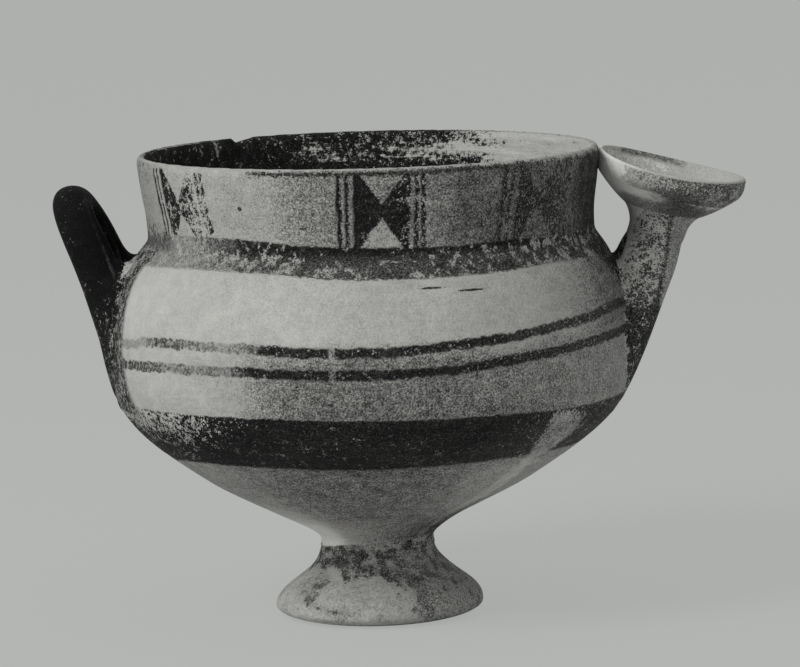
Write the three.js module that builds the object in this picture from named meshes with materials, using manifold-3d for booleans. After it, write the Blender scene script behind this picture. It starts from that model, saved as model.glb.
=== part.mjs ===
// A wheel-thrown clay bowl on a flaring foot, with two upright loop handles.
// The loop on the +X side carries a small open cup on a short stem.
// Units are millimetres, +Z is up, and the pot stands on z = 0.
import * as THREE from "three";
import { mergeVertices } from "three/addons/utils/BufferGeometryUtils.js";
import Module from "manifold-3d";

// Luted pieces lie this far apart, so that each stays a solid of its own.
const clearance = 0.3;

// Foot: a hollow cone that spreads from the waist to a rounded edge
const restInnerRadius = 32.5;
const restOuterRadius = 41;
const footRadius = 56.3;
const footEdgeHeight = 6;
const footEdgeCurve = 3;
const footRise = 13.4;
const recessDepth = 21;
const recessTopRadius = 13;
const recessTopCurve = 8;
const recessFootCurve = 2;

// Waist, where the foot is luted to the bowl
const waistRadius = 30.2;
const waistHeight = 37.5;
const waistCurve = 12.5;
const tenonHeight = 4.5;
const ringHeight = 8;
const ringThickness = 4.7;
const ringSwell = 1.7;

// Bowl: stations of the outer wall, from the waist to the lip. Each rises from the one below it.
const slopeRadius = 87.6;
const slopeRise = 38;
const slopeAngle = THREE.MathUtils.degToRad(33.2);
const slopeReach = 28.3;
const bellyRadius = 137.4;
const bellyRise = 58;
const bellyCurve = 21;
const shoulderCurve = 61;
const neckInset = 19.5;
const neckRise = 71.5;
const neckCurve = 4;
const lipFlare = 3.1;
const lipRise = 37.8;
const lipCurve = 20;
const rimCrown = 5.2;
const wall = 5.6;
const floorThickness = 7.7;
const floorReach = 27;

// Places of the two loops: past the bowl's belly, past the cup's middle, and down from the rim
const handleSetback = THREE.MathUtils.degToRad(2.5);
const leftTopOutreach = 28.5;
const leftTopDrop = 26.4;
const rightTopOutreach = 5.4;
const rightTopDrop = 50.4;
const rootDrop = 2.5;
const wadHalfWidth = 14.5;
const wadTipHalfWidth = 3;
const wadTipHalfDepth = 4;
const wadTipSink = 1;

// Cup on the right loop: it is revolved about its own axis, which tips outwards
const cupLipGap = 1.7;
const cupRise = 37.1;
const cupTip = THREE.MathUtils.degToRad(14);
const cupTurn = THREE.MathUtils.degToRad(2);
const cupRadius = 39.5;
const cupLipDepth = 8.5;
const cupWall = 5;
const cupFloorThickness = 5;
const cupConeDepth = 24;
const cupConeRadius = 20.5;
const cupConeReach = 7.5;
const cupConeCurve = 4.2;
const cupShoulderInset = 2.6;
const cupShoulderDrop = 2.4;
const stemRadius = 16.2;
const stemLap = 1.6;
const stemFlare = 0.4;
const stemFlareRise = 3;

// What follows from the sizes above
const neckRadius = bellyRadius - neckInset;
const lipRadius = neckRadius + lipFlare;
const slopeHeight = waistHeight + slopeRise;
const bellyHeight = slopeHeight + bellyRise;
const neckHeight = bellyHeight + neckRise;
const lipHeight = neckHeight + lipRise;
const rimHeight = lipHeight + rimCrown;
const tenonRadius = waistRadius - ringThickness;
const tenonTop = waistHeight + tenonHeight;
const ringLow = waistHeight + clearance;
const ringHigh = ringLow + ringHeight;
const ledgeHeight = ringHigh + clearance;
const floorHeight = tenonTop + clearance + floorThickness;
const cupFloorDepth = cupConeDepth - cupFloorThickness;
const cupReach = lipRadius + cupLipGap + cupRadius;

// Loop handles: each is a coil, bent into an upright arch that leans away from the bowl.
// Reach is measured from the bowl's axis to the outer face of the coil, and bow draws its middle in.
// The outer face of the coil's root stands off the wall by rootProud. Two wads of clay carry its legs on
// down the wall, from wadRise above the root to tipDrop below it, where they have sunk into the wall.
// The two loops stand a little behind the middle of the bowl.
const rootHeight = bellyHeight - rootDrop;
const leftLoop = {
  topReach: bellyRadius + leftTopOutreach,
  topHeight: rimHeight - leftTopDrop,
  rootProud: 1,
  bow: 2.2,
  archHalfSpan: 19.5,
  archRise: 21,
  rootHalfSpan: 23,
  halfThickness: 9.3,
  topHalfDepth: 10.1,
  rootHalfDepth: 13.5,
  wadRise: 35,
  tipDrop: 5,
};
const rightLoop = {
  topReach: cupReach + rightTopOutreach,
  topHeight: rimHeight - rightTopDrop,
  rootProud: 5.8,
  bow: 0,
  archHalfSpan: 19.5,
  archRise: 17,
  rootHalfSpan: 23,
  halfThickness: 8.8,
  topHalfDepth: 14.3,
  rootHalfDepth: 14.8,
  wadRise: 35,
  tipDrop: 16,
};
const cupRimHeight = rightLoop.topHeight + cupRise;
const stemEnd = cupRise / Math.cos(cupTip) + stemLap;

// Smoothness
const bowlSides = 48;
const footSides = 40;
const cupSides = 36;
const coilSides = 14;
const legSteps = 7;
const archSteps = 10;
const wadSteps = 8;
const leastStep = 1;

const wasm = await Module();
wasm.setup();

const slip = new THREE.MeshStandardMaterial({
  color: 0xb9b2a4,
  roughness: 0.85,
  metalness: 0,
});
const paint = new THREE.MeshStandardMaterial({
  color: 0x2c2926,
  roughness: 0.75,
  metalness: 0,
});

// A closed mesh as a solid that can be cut.
function solidOf(geometry) {
  const bare = new THREE.BufferGeometry();
  bare.setAttribute("position", geometry.getAttribute("position"));
  bare.setIndex(geometry.index);
  const merged = mergeVertices(bare, 1e-4);
  return new wasm.Manifold(
    new wasm.Mesh({
      numProp: 3,
      vertProperties: merged.attributes.position.array,
      triVerts: new Uint32Array(merged.index.array),
    }),
  );
}

function geometryOf(solid) {
  const mesh = solid.getMesh();
  const geometry = new THREE.BufferGeometry();
  geometry.setAttribute(
    "position",
    new THREE.BufferAttribute(new Float32Array(mesh.vertProperties), 3),
  );
  geometry.setIndex(new THREE.BufferAttribute(new Uint32Array(mesh.triVerts), 1));
  geometry.computeVertexNormals();
  return geometry;
}

// The geometry of one piece less the solids of its neighbours.
function cut(geometry, ...cutters) {
  const solid = cutters.reduce((rest, cutter) => rest.subtract(cutter), solidOf(geometry));
  return geometryOf(solid);
}

// A profile in radius and height, turned about the Z axis. The profile runs anticlockwise.
function revolved(points, sides) {
  const geometry = new THREE.LatheGeometry(points, sides);
  return geometry.rotateX(Math.PI / 2);
}

// Stations of the wall, moved inwards by inset along the wall's own normal.
function wallStations(inset) {
  return {
    slope: new THREE.Vector2(
      slopeRadius - inset * Math.sin(slopeAngle),
      slopeHeight + inset * Math.cos(slopeAngle),
    ),
    belly: new THREE.Vector2(bellyRadius - inset, bellyHeight),
    neck: new THREE.Vector2(neckRadius - inset, neckHeight),
    lip: new THREE.Vector2(lipRadius - inset, lipHeight),
  };
}

// A step from a station along the slope of the lower wall.
function alongSlope(station, reach) {
  const direction = new THREE.Vector2(Math.cos(slopeAngle), Math.sin(slopeAngle));
  return station.clone().addScaledVector(direction, reach);
}

// Continues a path that has reached the slope station up to the lip.
function addUpperWall(path, inset) {
  const { slope, belly, neck, lip } = wallStations(inset);
  const leave = alongSlope(slope, 1.6 * slopeReach - inset);
  path.bezierCurveTo(leave.x, leave.y, belly.x, belly.y - bellyCurve, belly.x, belly.y);
  path.bezierCurveTo(
    belly.x,
    belly.y + shoulderCurve,
    neck.x,
    neck.y - neckCurve,
    neck.x,
    neck.y,
  );
  path.bezierCurveTo(
    neck.x,
    neck.y + lipCurve,
    lip.x,
    lip.y - lipCurve,
    lip.x,
    lip.y,
  );
}

function outerWall(inset) {
  const { slope } = wallStations(inset);
  const arrive = alongSlope(slope, -slopeReach);
  const path = new THREE.Path();
  path.moveTo(waistRadius - inset, waistHeight);
  path.bezierCurveTo(
    waistRadius - inset,
    waistHeight + waistCurve,
    arrive.x,
    arrive.y,
    slope.x,
    slope.y,
  );
  addUpperWall(path, inset);
  return path;
}

function innerWall() {
  const { slope } = wallStations(wall);
  const arrive = alongSlope(slope, -slopeReach);
  const path = new THREE.Path();
  path.moveTo(0, floorHeight);
  path.bezierCurveTo(floorReach, floorHeight, arrive.x, arrive.y, slope.x, slope.y);
  addUpperWall(path, wall);
  return path;
}

// The radius of the bowl's outer wall at a height.
function wallRadiusAt(height) {
  const points = outerWall(0).getPoints(40);
  const above = Math.max(
    1,
    points.findIndex((point) => point.y >= height),
  );
  const low = points[above - 1];
  const high = points[above];
  return THREE.MathUtils.mapLinear(height, low.y, high.y, low.x, high.x);
}

// The foot's tenon and the bowl's stub meet inside the luting ring.
function bowlGeometry() {
  const outside = outerWall(0)
    .getPoints(8)
    .filter((point) => point.y > ledgeHeight + leastStep);
  const inside = innerWall().getPoints(6).reverse();
  const lipInner = lipRadius - wall;
  const rim = new THREE.Path();
  rim.moveTo(lipRadius, lipHeight);
  rim.bezierCurveTo(
    lipRadius,
    lipHeight + rimCrown * 1.25,
    lipInner,
    lipHeight + rimCrown * 1.4,
    lipInner,
    lipHeight,
  );
  const profile = [
    new THREE.Vector2(0, tenonTop + clearance),
    new THREE.Vector2(tenonRadius, tenonTop + clearance),
    new THREE.Vector2(tenonRadius, ledgeHeight),
    new THREE.Vector2(wallRadiusAt(ledgeHeight), ledgeHeight),
    ...outside,
    ...rim.getPoints(6).slice(1, -1),
    ...inside,
  ];
  return revolved(profile, bowlSides);
}

// The wall's outer form grown by the clearance: what the handles are cut back from.
function wallCutter() {
  const outside = outerWall(-clearance).getPoints(8);
  const profile = [
    new THREE.Vector2(0, waistHeight),
    ...outside,
    new THREE.Vector2(lipRadius + clearance, rimHeight + clearance),
    new THREE.Vector2(0, rimHeight + clearance),
  ];
  return solidOf(revolved(profile, bowlSides));
}

function footGeometry() {
  const outside = new THREE.Path();
  outside.moveTo(restOuterRadius, 0);
  outside.bezierCurveTo(
    restOuterRadius + footEdgeCurve,
    0,
    footRadius,
    footEdgeHeight * 0.4,
    footRadius,
    footEdgeHeight,
  );
  outside.bezierCurveTo(
    footRadius,
    footEdgeHeight + footRise,
    waistRadius,
    waistHeight - waistCurve,
    waistRadius,
    waistHeight,
  );
  const recess = new THREE.Path();
  recess.moveTo(0, recessDepth);
  recess.lineTo(recessTopRadius, recessDepth);
  recess.bezierCurveTo(
    recessTopRadius + recessTopCurve,
    recessDepth,
    restInnerRadius - recessFootCurve,
    recessDepth * 0.4,
    restInnerRadius,
    0,
  );
  const profile = [
    ...recess.getPoints(5),
    ...outside.getPoints(8),
    new THREE.Vector2(tenonRadius, waistHeight),
    new THREE.Vector2(tenonRadius, tenonTop),
    new THREE.Vector2(0, tenonTop),
  ];
  return revolved(profile, footSides);
}

// The ring of clay that was pressed round the joint of foot and bowl. It stands a little proud of the
// foot below it, and its upper edge runs on into the bowl's wall.
function lutingRingGeometry() {
  const bore = tenonRadius + clearance;
  const face = new THREE.Path();
  face.moveTo(waistRadius, ringLow);
  face.quadraticCurveTo(
    waistRadius + ringSwell,
    ringLow,
    waistRadius + ringSwell,
    ringLow + ringHeight * 0.25,
  );
  face.quadraticCurveTo(
    waistRadius + ringSwell,
    ringHigh - ringHeight * 0.35,
    wallRadiusAt(ringHigh),
    ringHigh,
  );
  const profile = [
    new THREE.Vector2(bore, ringLow),
    ...face.getPoints(3),
    new THREE.Vector2(bore, ringHigh),
    new THREE.Vector2(bore, ringLow),
  ];
  return revolved(profile, footSides);
}

// A skin over elliptical rings with a flat cap at each end. Each ring has a centre and two half axes.
function skinnedRings(rings, sides) {
  const positions = [];
  const indices = [];
  rings.forEach(({ centre, across, out }) => {
    for (let side = 0; side < sides; side += 1) {
      const turn = (2 * Math.PI * side) / sides;
      const point = centre
        .clone()
        .addScaledVector(across, Math.cos(turn))
        .addScaledVector(out, Math.sin(turn));
      positions.push(...point.toArray());
    }
  });
  for (let ring = 0; ring + 1 < rings.length; ring += 1) {
    for (let side = 0; side < sides; side += 1) {
      const next = (side + 1) % sides;
      const a = ring * sides + side;
      const b = ring * sides + next;
      indices.push(a, b, a + sides, b, b + sides, a + sides);
    }
  }
  const last = (rings.length - 1) * sides;
  for (let side = 1; side + 1 < sides; side += 1) {
    indices.push(0, side + 1, side);
    indices.push(last, last + side, last + side + 1);
  }
  const geometry = new THREE.BufferGeometry();
  geometry.setAttribute("position", new THREE.Float32BufferAttribute(positions, 3));
  geometry.setIndex(indices);
  return geometry;
}

// How far up a loop a height lies, from 0 at its root to 1 at its top.
function shareUp(loop, height) {
  return (height - rootHeight) / (loop.topHeight - rootHeight);
}

// Half the coil's depth, square to its outer face, at a height.
function halfDepthAt(loop, height) {
  return THREE.MathUtils.lerp(loop.rootHalfDepth, loop.topHalfDepth, shareUp(loop, height));
}

// How far out the wall lies at a height, at one side of its middle.
function wallReachAt(height, across) {
  return Math.sqrt(wallRadiusAt(height) ** 2 - across ** 2);
}

// How far out the coil's outer face lies at the foot of a leg, and at any height.
function rootReachOf(loop) {
  return wallReachAt(rootHeight, loop.rootHalfSpan) + loop.rootProud;
}

function outerFaceAt(loop, height) {
  const share = shareUp(loop, height);
  const straight = THREE.MathUtils.lerp(rootReachOf(loop), loop.topReach, share);
  return straight - 4 * loop.bow * share * (1 - share);
}

// A point of the loop's middle line, from how far it lies across and how high.
function loopPoint(loop, across, height) {
  const rise = loop.topHeight - rootHeight;
  const stretch = Math.hypot(loop.topReach - rootReachOf(loop), rise) / rise;
  const reach = outerFaceAt(loop, height) - halfDepthAt(loop, height) * stretch;
  return new THREE.Vector3(reach, across, height);
}

// How far a leg's middle line lies from the loop's middle plane at a height.
function legOffset(loop, height) {
  const spring = loop.topHeight - loop.archRise;
  const share = (height - rootHeight) / (spring - rootHeight);
  return THREE.MathUtils.lerp(loop.rootHalfSpan, loop.archHalfSpan, share);
}

// A leg's middle line between two heights, on the side that sign gives.
function legLine(loop, sign, from, to, steps) {
  return Array.from({ length: steps + 1 }, (_, step) => {
    const height = THREE.MathUtils.lerp(from, to, step / steps);
    return loopPoint(loop, sign * legOffset(loop, height), height);
  });
}

// The loop's middle line from the foot of one leg over the arch to the foot of the other.
function loopLine(loop) {
  const spring = loop.topHeight - loop.archRise;
  const arch = Array.from({ length: archSteps - 1 }, (_, step) => {
    const turn = (Math.PI * (step + 1)) / archSteps;
    return loopPoint(
      loop,
      -loop.archHalfSpan * Math.cos(turn),
      spring + loop.archRise * Math.sin(turn),
    );
  });
  const joint = rootHeight + loop.wadRise;
  return [
    ...legLine(loop, -1, joint, spring, legSteps),
    ...arch,
    ...legLine(loop, 1, spring, joint, legSteps),
  ];
}

// Elliptical rings square to a line of points, with the half sizes that sizeAt gives.
function ringsAlong(line, sizeAt) {
  return line.map((centre, index) => {
    const before = line[Math.max(index - 1, 0)];
    const after = line[Math.min(index + 1, line.length - 1)];
    const along = after.clone().sub(before).normalize();
    const out = new THREE.Vector3(1, 0, 0);
    out.addScaledVector(along, -out.dot(along)).normalize();
    const across = new THREE.Vector3().crossVectors(out, along).normalize();
    const { halfThickness, halfDepth } = sizeAt(centre, index / (line.length - 1));
    return {
      centre,
      across: across.multiplyScalar(halfThickness),
      out: out.multiplyScalar(halfDepth),
    };
  });
}

function loopGeometry(loop, grow) {
  const sizeAt = (centre) => ({
    halfThickness: loop.halfThickness + grow,
    halfDepth: halfDepthAt(loop, centre.z) + grow,
  });
  return skinnedRings(ringsAlong(loopLine(loop), sizeAt), coilSides);
}

// One root wad: the leg's line carried on down the wall, widening to a pad and closing to a tip. Its outer
// face is drawn in towards the tip, which has sunk into the wall.
function wadGeometry(loop, sign) {
  const tip = rootHeight - loop.tipDrop;
  const line = legLine(loop, sign, tip, rootHeight + loop.wadRise - clearance, wadSteps);
  const sizeAt = (centre, share) => {
    const spread = Math.sin(Math.PI * share) ** 2;
    const plain = THREE.MathUtils.lerp(
      wadTipHalfWidth,
      loop.halfThickness,
      Math.sqrt(share),
    );
    return {
      halfThickness: plain + (wadHalfWidth - loop.halfThickness) * spread,
      halfDepth: halfDepthAt(loop, centre.z),
    };
  };
  const rings = ringsAlong(line, sizeAt);
  const lowest = rings[0].centre.clone().add(rings[0].out);
  const drawnIn = lowest.x + wadTipSink - wallReachAt(lowest.z, lowest.y);
  rings.forEach((ring, step) => {
    const share = step / wadSteps;
    const face = ring.centre.clone().add(ring.out);
    face.x -= drawnIn * (1 - share) ** 4;
    const thinning = wadTipHalfDepth / loop.rootHalfDepth;
    ring.out.multiplyScalar(THREE.MathUtils.lerp(thinning, 1, Math.sqrt(share)));
    ring.centre.copy(face).sub(ring.out);
  });
  return skinnedRings(rings, coilSides);
}

// The cup, turned about its own axis with its rim's middle at the origin.
function cupGeometry() {
  const profile = new THREE.Path();
  profile.moveTo(0, -cupConeDepth);
  profile.lineTo(cupConeRadius, -cupConeDepth);
  profile.quadraticCurveTo(
    cupConeRadius + cupConeReach,
    -cupConeDepth + cupConeCurve,
    cupRadius - cupShoulderInset,
    -cupLipDepth - cupShoulderDrop,
  );
  profile.quadraticCurveTo(cupRadius, -cupLipDepth, cupRadius, -cupLipDepth * 0.5);
  profile.lineTo(cupRadius, -cupWall * 0.5);
  profile.absarc(cupRadius - cupWall * 0.5, -cupWall * 0.5, cupWall * 0.5, 0, Math.PI, false);
  profile.quadraticCurveTo(
    cupRadius - cupWall * 1.2,
    -cupLipDepth,
    (cupRadius - cupWall) * 0.6,
    -cupFloorDepth * 0.72,
  );
  profile.quadraticCurveTo(
    (cupRadius - cupWall) * 0.3,
    -cupFloorDepth,
    0,
    -cupFloorDepth,
  );
  return revolved(profile.getPoints(4), cupSides);
}

// The stem, which opens upwards to the cup and straddles the top of the loop.
function stemGeometry() {
  const top = -cupConeDepth - clearance;
  const flareStart = -stemEnd + rightLoop.halfThickness;
  const profile = new THREE.Path();
  profile.moveTo(0, -stemEnd);
  profile.lineTo(stemRadius - stemLap * 0.6, -stemEnd);
  profile.lineTo(stemRadius, flareStart);
  profile.quadraticCurveTo(
    stemRadius + stemFlare,
    top - stemFlareRise,
    cupConeRadius - stemFlare,
    top,
  );
  profile.lineTo(0, top);
  return revolved(profile.getPoints(3), cupSides);
}

// Places a piece of the cup, which is turned about the middle of its rim.
function placeCup(geometry) {
  geometry.rotateY(cupTip);
  geometry.rotateX(cupTurn);
  return geometry.translate(cupReach, 0, cupRimHeight);
}

function addMesh(group, name, geometry, material) {
  const mesh = new THREE.Mesh(geometry, material);
  mesh.name = name;
  group.add(mesh);
}

// A loop and its two root wads, made on the +X side and turned into place.
function addHandle(group, side, loop, azimuth) {
  const place = (geometry) => geometry.rotateZ(azimuth);
  const body = wallCutter();
  addMesh(group, `${side}_handle`, cut(place(loopGeometry(loop, 0)), body), paint);
  const frontSign = Math.cos(azimuth) > 0 ? -1 : 1;
  [
    ["front", frontSign],
    ["back", -frontSign],
  ].forEach(([face, sign]) => {
    const wad = cut(place(wadGeometry(loop, sign)), body);
    addMesh(group, `${side}_${face}_root`, wad, paint);
  });
}

function buildPot() {
  const pot = new THREE.Group();
  addMesh(pot, "bowl", bowlGeometry(), slip);
  addMesh(pot, "foot", footGeometry(), slip);
  addMesh(pot, "foot_luting_ring", lutingRingGeometry(), slip);
  addHandle(pot, "left", leftLoop, Math.PI - handleSetback);
  addHandle(pot, "right", rightLoop, handleSetback);
  const arch = solidOf(loopGeometry(rightLoop, clearance).rotateZ(handleSetback));
  const stem = placeCup(stemGeometry()).rotateZ(handleSetback);
  addMesh(pot, "cup_stem", cut(stem, arch), paint);
  addMesh(pot, "handle_cup", placeCup(cupGeometry()).rotateZ(handleSetback), slip);
  return pot;
}

// The origin is under the middle of the whole outline, on the surface that the foot stands on.
const pot = buildPot();
const middle = new THREE.Box3().setFromObject(pot, true).getCenter(new THREE.Vector3());
pot.position.set(-middle.x, -middle.y, 0);

export default pot;
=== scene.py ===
"""The looks of a two-handled bowl on a foot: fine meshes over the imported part, with clay and old paint
on them. Sizes are in millimetres and angles in degrees, until a mesh or a lamp is made in metres.

An azimuth here is measured round the bowl's axis from the front, which faces -Y, towards +X.
"""

import math
from functools import partial, reduce

import bpy
import numpy as np
from mathutils import Matrix, Vector


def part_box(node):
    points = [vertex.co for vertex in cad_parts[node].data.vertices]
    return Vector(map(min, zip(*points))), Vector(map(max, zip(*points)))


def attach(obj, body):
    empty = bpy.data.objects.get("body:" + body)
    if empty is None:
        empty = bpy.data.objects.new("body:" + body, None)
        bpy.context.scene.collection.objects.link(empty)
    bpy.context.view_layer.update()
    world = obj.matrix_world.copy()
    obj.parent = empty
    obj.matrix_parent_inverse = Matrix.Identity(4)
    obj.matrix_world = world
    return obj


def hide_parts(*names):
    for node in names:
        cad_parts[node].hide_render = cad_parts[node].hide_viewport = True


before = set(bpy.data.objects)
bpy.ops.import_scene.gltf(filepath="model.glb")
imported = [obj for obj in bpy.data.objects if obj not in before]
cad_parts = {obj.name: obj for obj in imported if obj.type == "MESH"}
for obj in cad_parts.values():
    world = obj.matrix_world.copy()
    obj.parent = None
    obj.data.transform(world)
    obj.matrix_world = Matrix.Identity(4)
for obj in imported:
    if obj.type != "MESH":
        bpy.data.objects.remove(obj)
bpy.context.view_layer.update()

MM = 0.001


def cad_box(node):
    """The lowest and highest corner of a CAD node, in millimetres."""
    low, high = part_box(node)
    return np.array(low) / MM, np.array(high) / MM


# Sizes that the frame gives
bowl_low, bowl_high = cad_box("bowl")
foot_low, foot_high = cad_box("foot")
ring_low, ring_high = cad_box("foot_luting_ring")
AXIS_X = (bowl_low[0] + bowl_high[0]) / 2
BELLY_RADIUS = (bowl_high[1] - bowl_low[1]) / 2
RIM_HEIGHT = bowl_high[2]
FOOT_RADIUS = (foot_high[1] - foot_low[1]) / 2 - 1
RING_LOW, RING_HIGH = ring_low[2], ring_high[2]

# Stations of the wall. Its waist is drawn in a little more than the CAD part's.
WAIST_RADIUS, WAIST_HEIGHT, WAIST_CURVE = 29.6, 41, 7
SLOPE_RADIUS, SLOPE_HEIGHT = 87.6, 75.5
SLOPE_ANGLE = math.radians(33.2)
SLOPE_REACH, WAIST_REACH = 28.3, 20
BELLY_HEIGHT, BELLY_CURVE, SHOULDER_CURVE = 133.5, 21, 61
NECK_RADIUS, NECK_HEIGHT, NECK_CURVE = BELLY_RADIUS - 19.5, 205, 8
LIP_RADIUS, LIP_HEIGHT, LIP_CURVE = NECK_RADIUS + 3.1, 242.8, 20
RIM_CROWN = 5.2
LEAST_RADIUS = 1e-6
WALL = 5.6
FLOOR_HEIGHT, FLOOR_REACH = 50, 27

# Foot
REST_INNER_RADIUS, REST_OUTER_RADIUS = 32.5, 41
FOOT_EDGE_HEIGHT, FOOT_EDGE_CURVE, FOOT_RISE, FOOT_WAIST_CURVE = 6, 3, 12.5, 19
RECESS_DEPTH, RECESS_TOP_RADIUS = 21, 13
RECESS_TOP_CURVE, RECESS_FOOT_CURVE = 8, 2
TENON_RADIUS, TENON_TOP = 25.5, 42
RING_PROUD = 0.4

# Loops. Their roots lie at one height, and a wad of clay carries each leg on down the wall.
SETBACK = math.radians(2.5)
ROOT_HEIGHT = BELLY_HEIGHT - 2.5
WAD_RISE = 35
WAD_HALF_WIDTH = 14.5
WAD_TIP_HALF_WIDTH, WAD_TIP_HALF_DEPTH, WAD_TIP_SINK = 3, 4, 1
COIL_SQUARENESS = 0.02
RING_GAP, ARCH_RINGS = 1.1, 60
LEFT_LOOP = {
    "side": "left",
    "turn": math.pi - SETBACK,
    "top_reach": BELLY_RADIUS + 29.2,
    "top_height": RIM_HEIGHT - 25.7,
    "root_proud": 1,
    "bow": 2.6,
    "arch_half_span": 19.5,
    "arch_rise": 21,
    "root_half_span": 23,
    "half_thickness": 9.3,
    "top_half_depth": 10.1,
    "root_half_depth": 13.5,
    "tip_drop": 11,
    "fillets": ((105, 2), (122, 3), (140, 8), (170, 9), (190, 14)),
}
RIGHT_LOOP = {
    "side": "right",
    "turn": SETBACK,
    "top_reach": LIP_RADIUS + 41.2 + 5.4,
    "top_height": RIM_HEIGHT - 50.4,
    "root_proud": 5.8,
    "bow": 0,
    "arch_half_span": 19.5,
    "arch_rise": 17,
    "root_half_span": 23,
    "half_thickness": 8.8,
    "top_half_depth": 14.3,
    "root_half_depth": 14.8,
    "tip_drop": 16,
    "fillets": ((105, 2), (118, 3), (135, 6), (185, 7), (195, 5)),
}

# Cup on the right loop, turned about its own axis, which tips outwards
CUP_REACH = LIP_RADIUS + 41.2
CUP_RIM_HEIGHT = RIGHT_LOOP["top_height"] + 37.1
CUP_TIP, CUP_TURN = math.radians(14), math.radians(2)
CUP_RADIUS, CUP_LIP_DEPTH, CUP_WALL, CUP_LIP = 40.0, 8.5, 5, 3.2
CUP_DEPTH, CUP_FLOOR_DEPTH = 24, 19
CUP_BASE_RADIUS = 20.5
CUP_CONE_REACH, CUP_CONE_CURVE = 7.5, 4.2
CUP_SHOULDER_INSET, CUP_SHOULDER_DROP = 2.6, 2.4
STEM_RADIUS, STEM_END, STEM_END_RADIUS = 15.6, 48, 8
STEM_TAPER, STEM_TOP_CURVE, STEM_END_CURVE = 2, 6, 8

# The thrown body leans a little this way and that on its way up: the shift along X at each height
DRIFT_HEIGHTS = (0, 6, 15, 26, 34, 40, 46, 55, 64, 110, 150, 185, 203, 215, 248)
DRIFT_SHIFTS = (1.1, 1.1, 2.3, 2.6, 1.2, 1.4, 0.8, -1.4, -1.2, 0.6, 0, 1.2, 2.5, 2.1, 1.6)

# How many sides the turned pieces and the coils have, where the bowl has more of them and how many, and
# the unevenness of hand-made clay: how far apart its waves lie and how high they are
BOWL_SIDES, FOOT_SIDES, CUP_SIDES, STEM_SIDES, COIL_SIDES = 380, 200, 160, 120, 72
LOOP_AZIMUTH, LOOP_HALF_TURN, MORE_SIDES = math.pi / 2 + 0.04, math.radians(30), 1.6
BODY_WAVER, CUP_WAVER, COIL_WAVER = (34, 0.35), (17, 0.35), (13, 0.3)


# Curves and outlines


def bezier(*points, steps=48):
    """Points along a Bezier curve of three or four control points, both ends included."""
    share = np.linspace(0, 1, steps + 1)[:, None]
    level = [np.array(point, float) for point in points]
    while len(level) > 1:
        level = [a * (1 - share) + b * share for a, b in zip(level, level[1:])]
    return level[0]


def upright(first, rise, last, drop, steps=48):
    """A curve that leaves its first point upright and reaches its last one upright."""
    return bezier(first, (first[0], first[1] + rise), (last[0], last[1] - drop), last, steps=steps)


def columns(*values):
    """Arrays of numbers side by side, as points."""
    return np.stack(values, axis=-1)


def path(*stretches):
    """One line of points from stretches that each start where the last one ends."""
    rest = [stretch[1:] for stretch in stretches[1:]]
    return np.concatenate([stretches[0], *rest])


def spaced(points, step):
    """The same line with its points a step apart."""
    lengths = np.linalg.norm(np.diff(points, axis=0), axis=1)
    along = np.concatenate([[0], np.cumsum(lengths)])
    at = np.linspace(0, along[-1], max(2, round(along[-1] / step)) + 1)
    return columns(*(np.interp(at, along, values) for values in points.T))


def slope_point(inset, reach):
    """A point along the slope of the lower wall, moved inwards by inset square to it."""
    cosine, sine = math.cos(SLOPE_ANGLE), math.sin(SLOPE_ANGLE)
    return (
        SLOPE_RADIUS - inset * sine + reach * cosine,
        SLOPE_HEIGHT + inset * cosine + reach * sine,
    )


def upper_wall(inset):
    """The wall from its lower slope over belly and neck to the lip."""
    belly = (BELLY_RADIUS - inset, BELLY_HEIGHT)
    neck = (NECK_RADIUS - inset, NECK_HEIGHT)
    lip = (LIP_RADIUS - inset, LIP_HEIGHT)
    leave = slope_point(inset, 1.6 * SLOPE_REACH - inset)
    return path(
        bezier(slope_point(inset, 0), leave, (belly[0], BELLY_HEIGHT - BELLY_CURVE), belly),
        upright(belly, SHOULDER_CURVE, neck, NECK_CURVE),
        upright(neck, LIP_CURVE, lip, LIP_CURVE),
    )


def outer_wall():
    waist, over_waist = (WAIST_RADIUS, WAIST_HEIGHT), (WAIST_RADIUS, WAIST_HEIGHT + WAIST_CURVE)
    start = bezier(waist, over_waist, slope_point(0, -WAIST_REACH), slope_point(0, 0))
    return path(start, upper_wall(0))


def inner_wall():
    arrive = slope_point(WALL, -SLOPE_REACH)
    start = bezier((0, FLOOR_HEIGHT), (FLOOR_REACH, FLOOR_HEIGHT), arrive, slope_point(WALL, 0))
    return path(start, upper_wall(WALL))


def bowl_profile():
    """From the middle of the underside, inside the luting ring, round to the middle of the floor."""
    outside = outer_wall()
    outside = outside[outside[:, 1] > RING_HIGH - 1]
    lip, lip_inner = (LIP_RADIUS, LIP_HEIGHT), (LIP_RADIUS - WALL, LIP_HEIGHT)
    rim = upright(lip, RIM_CROWN * 1.25, lip_inner, -RIM_CROWN * 1.4, steps=24)
    bottom = np.array([(0, TENON_TOP), (TENON_RADIUS, TENON_TOP), outside[0]])
    inside = spaced(inner_wall()[::-1], 3.2)
    return path(spaced(bottom, 6), spaced(outside, 1.75), spaced(rim, 0.8), inside)


def foot_flare():
    """The foot's outside, from its widest place up to the waist."""
    edge, waist = (FOOT_RADIUS, FOOT_EDGE_HEIGHT), (WAIST_RADIUS, WAIST_HEIGHT)
    return upright(edge, FOOT_RISE, waist, FOOT_WAIST_CURVE)


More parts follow.
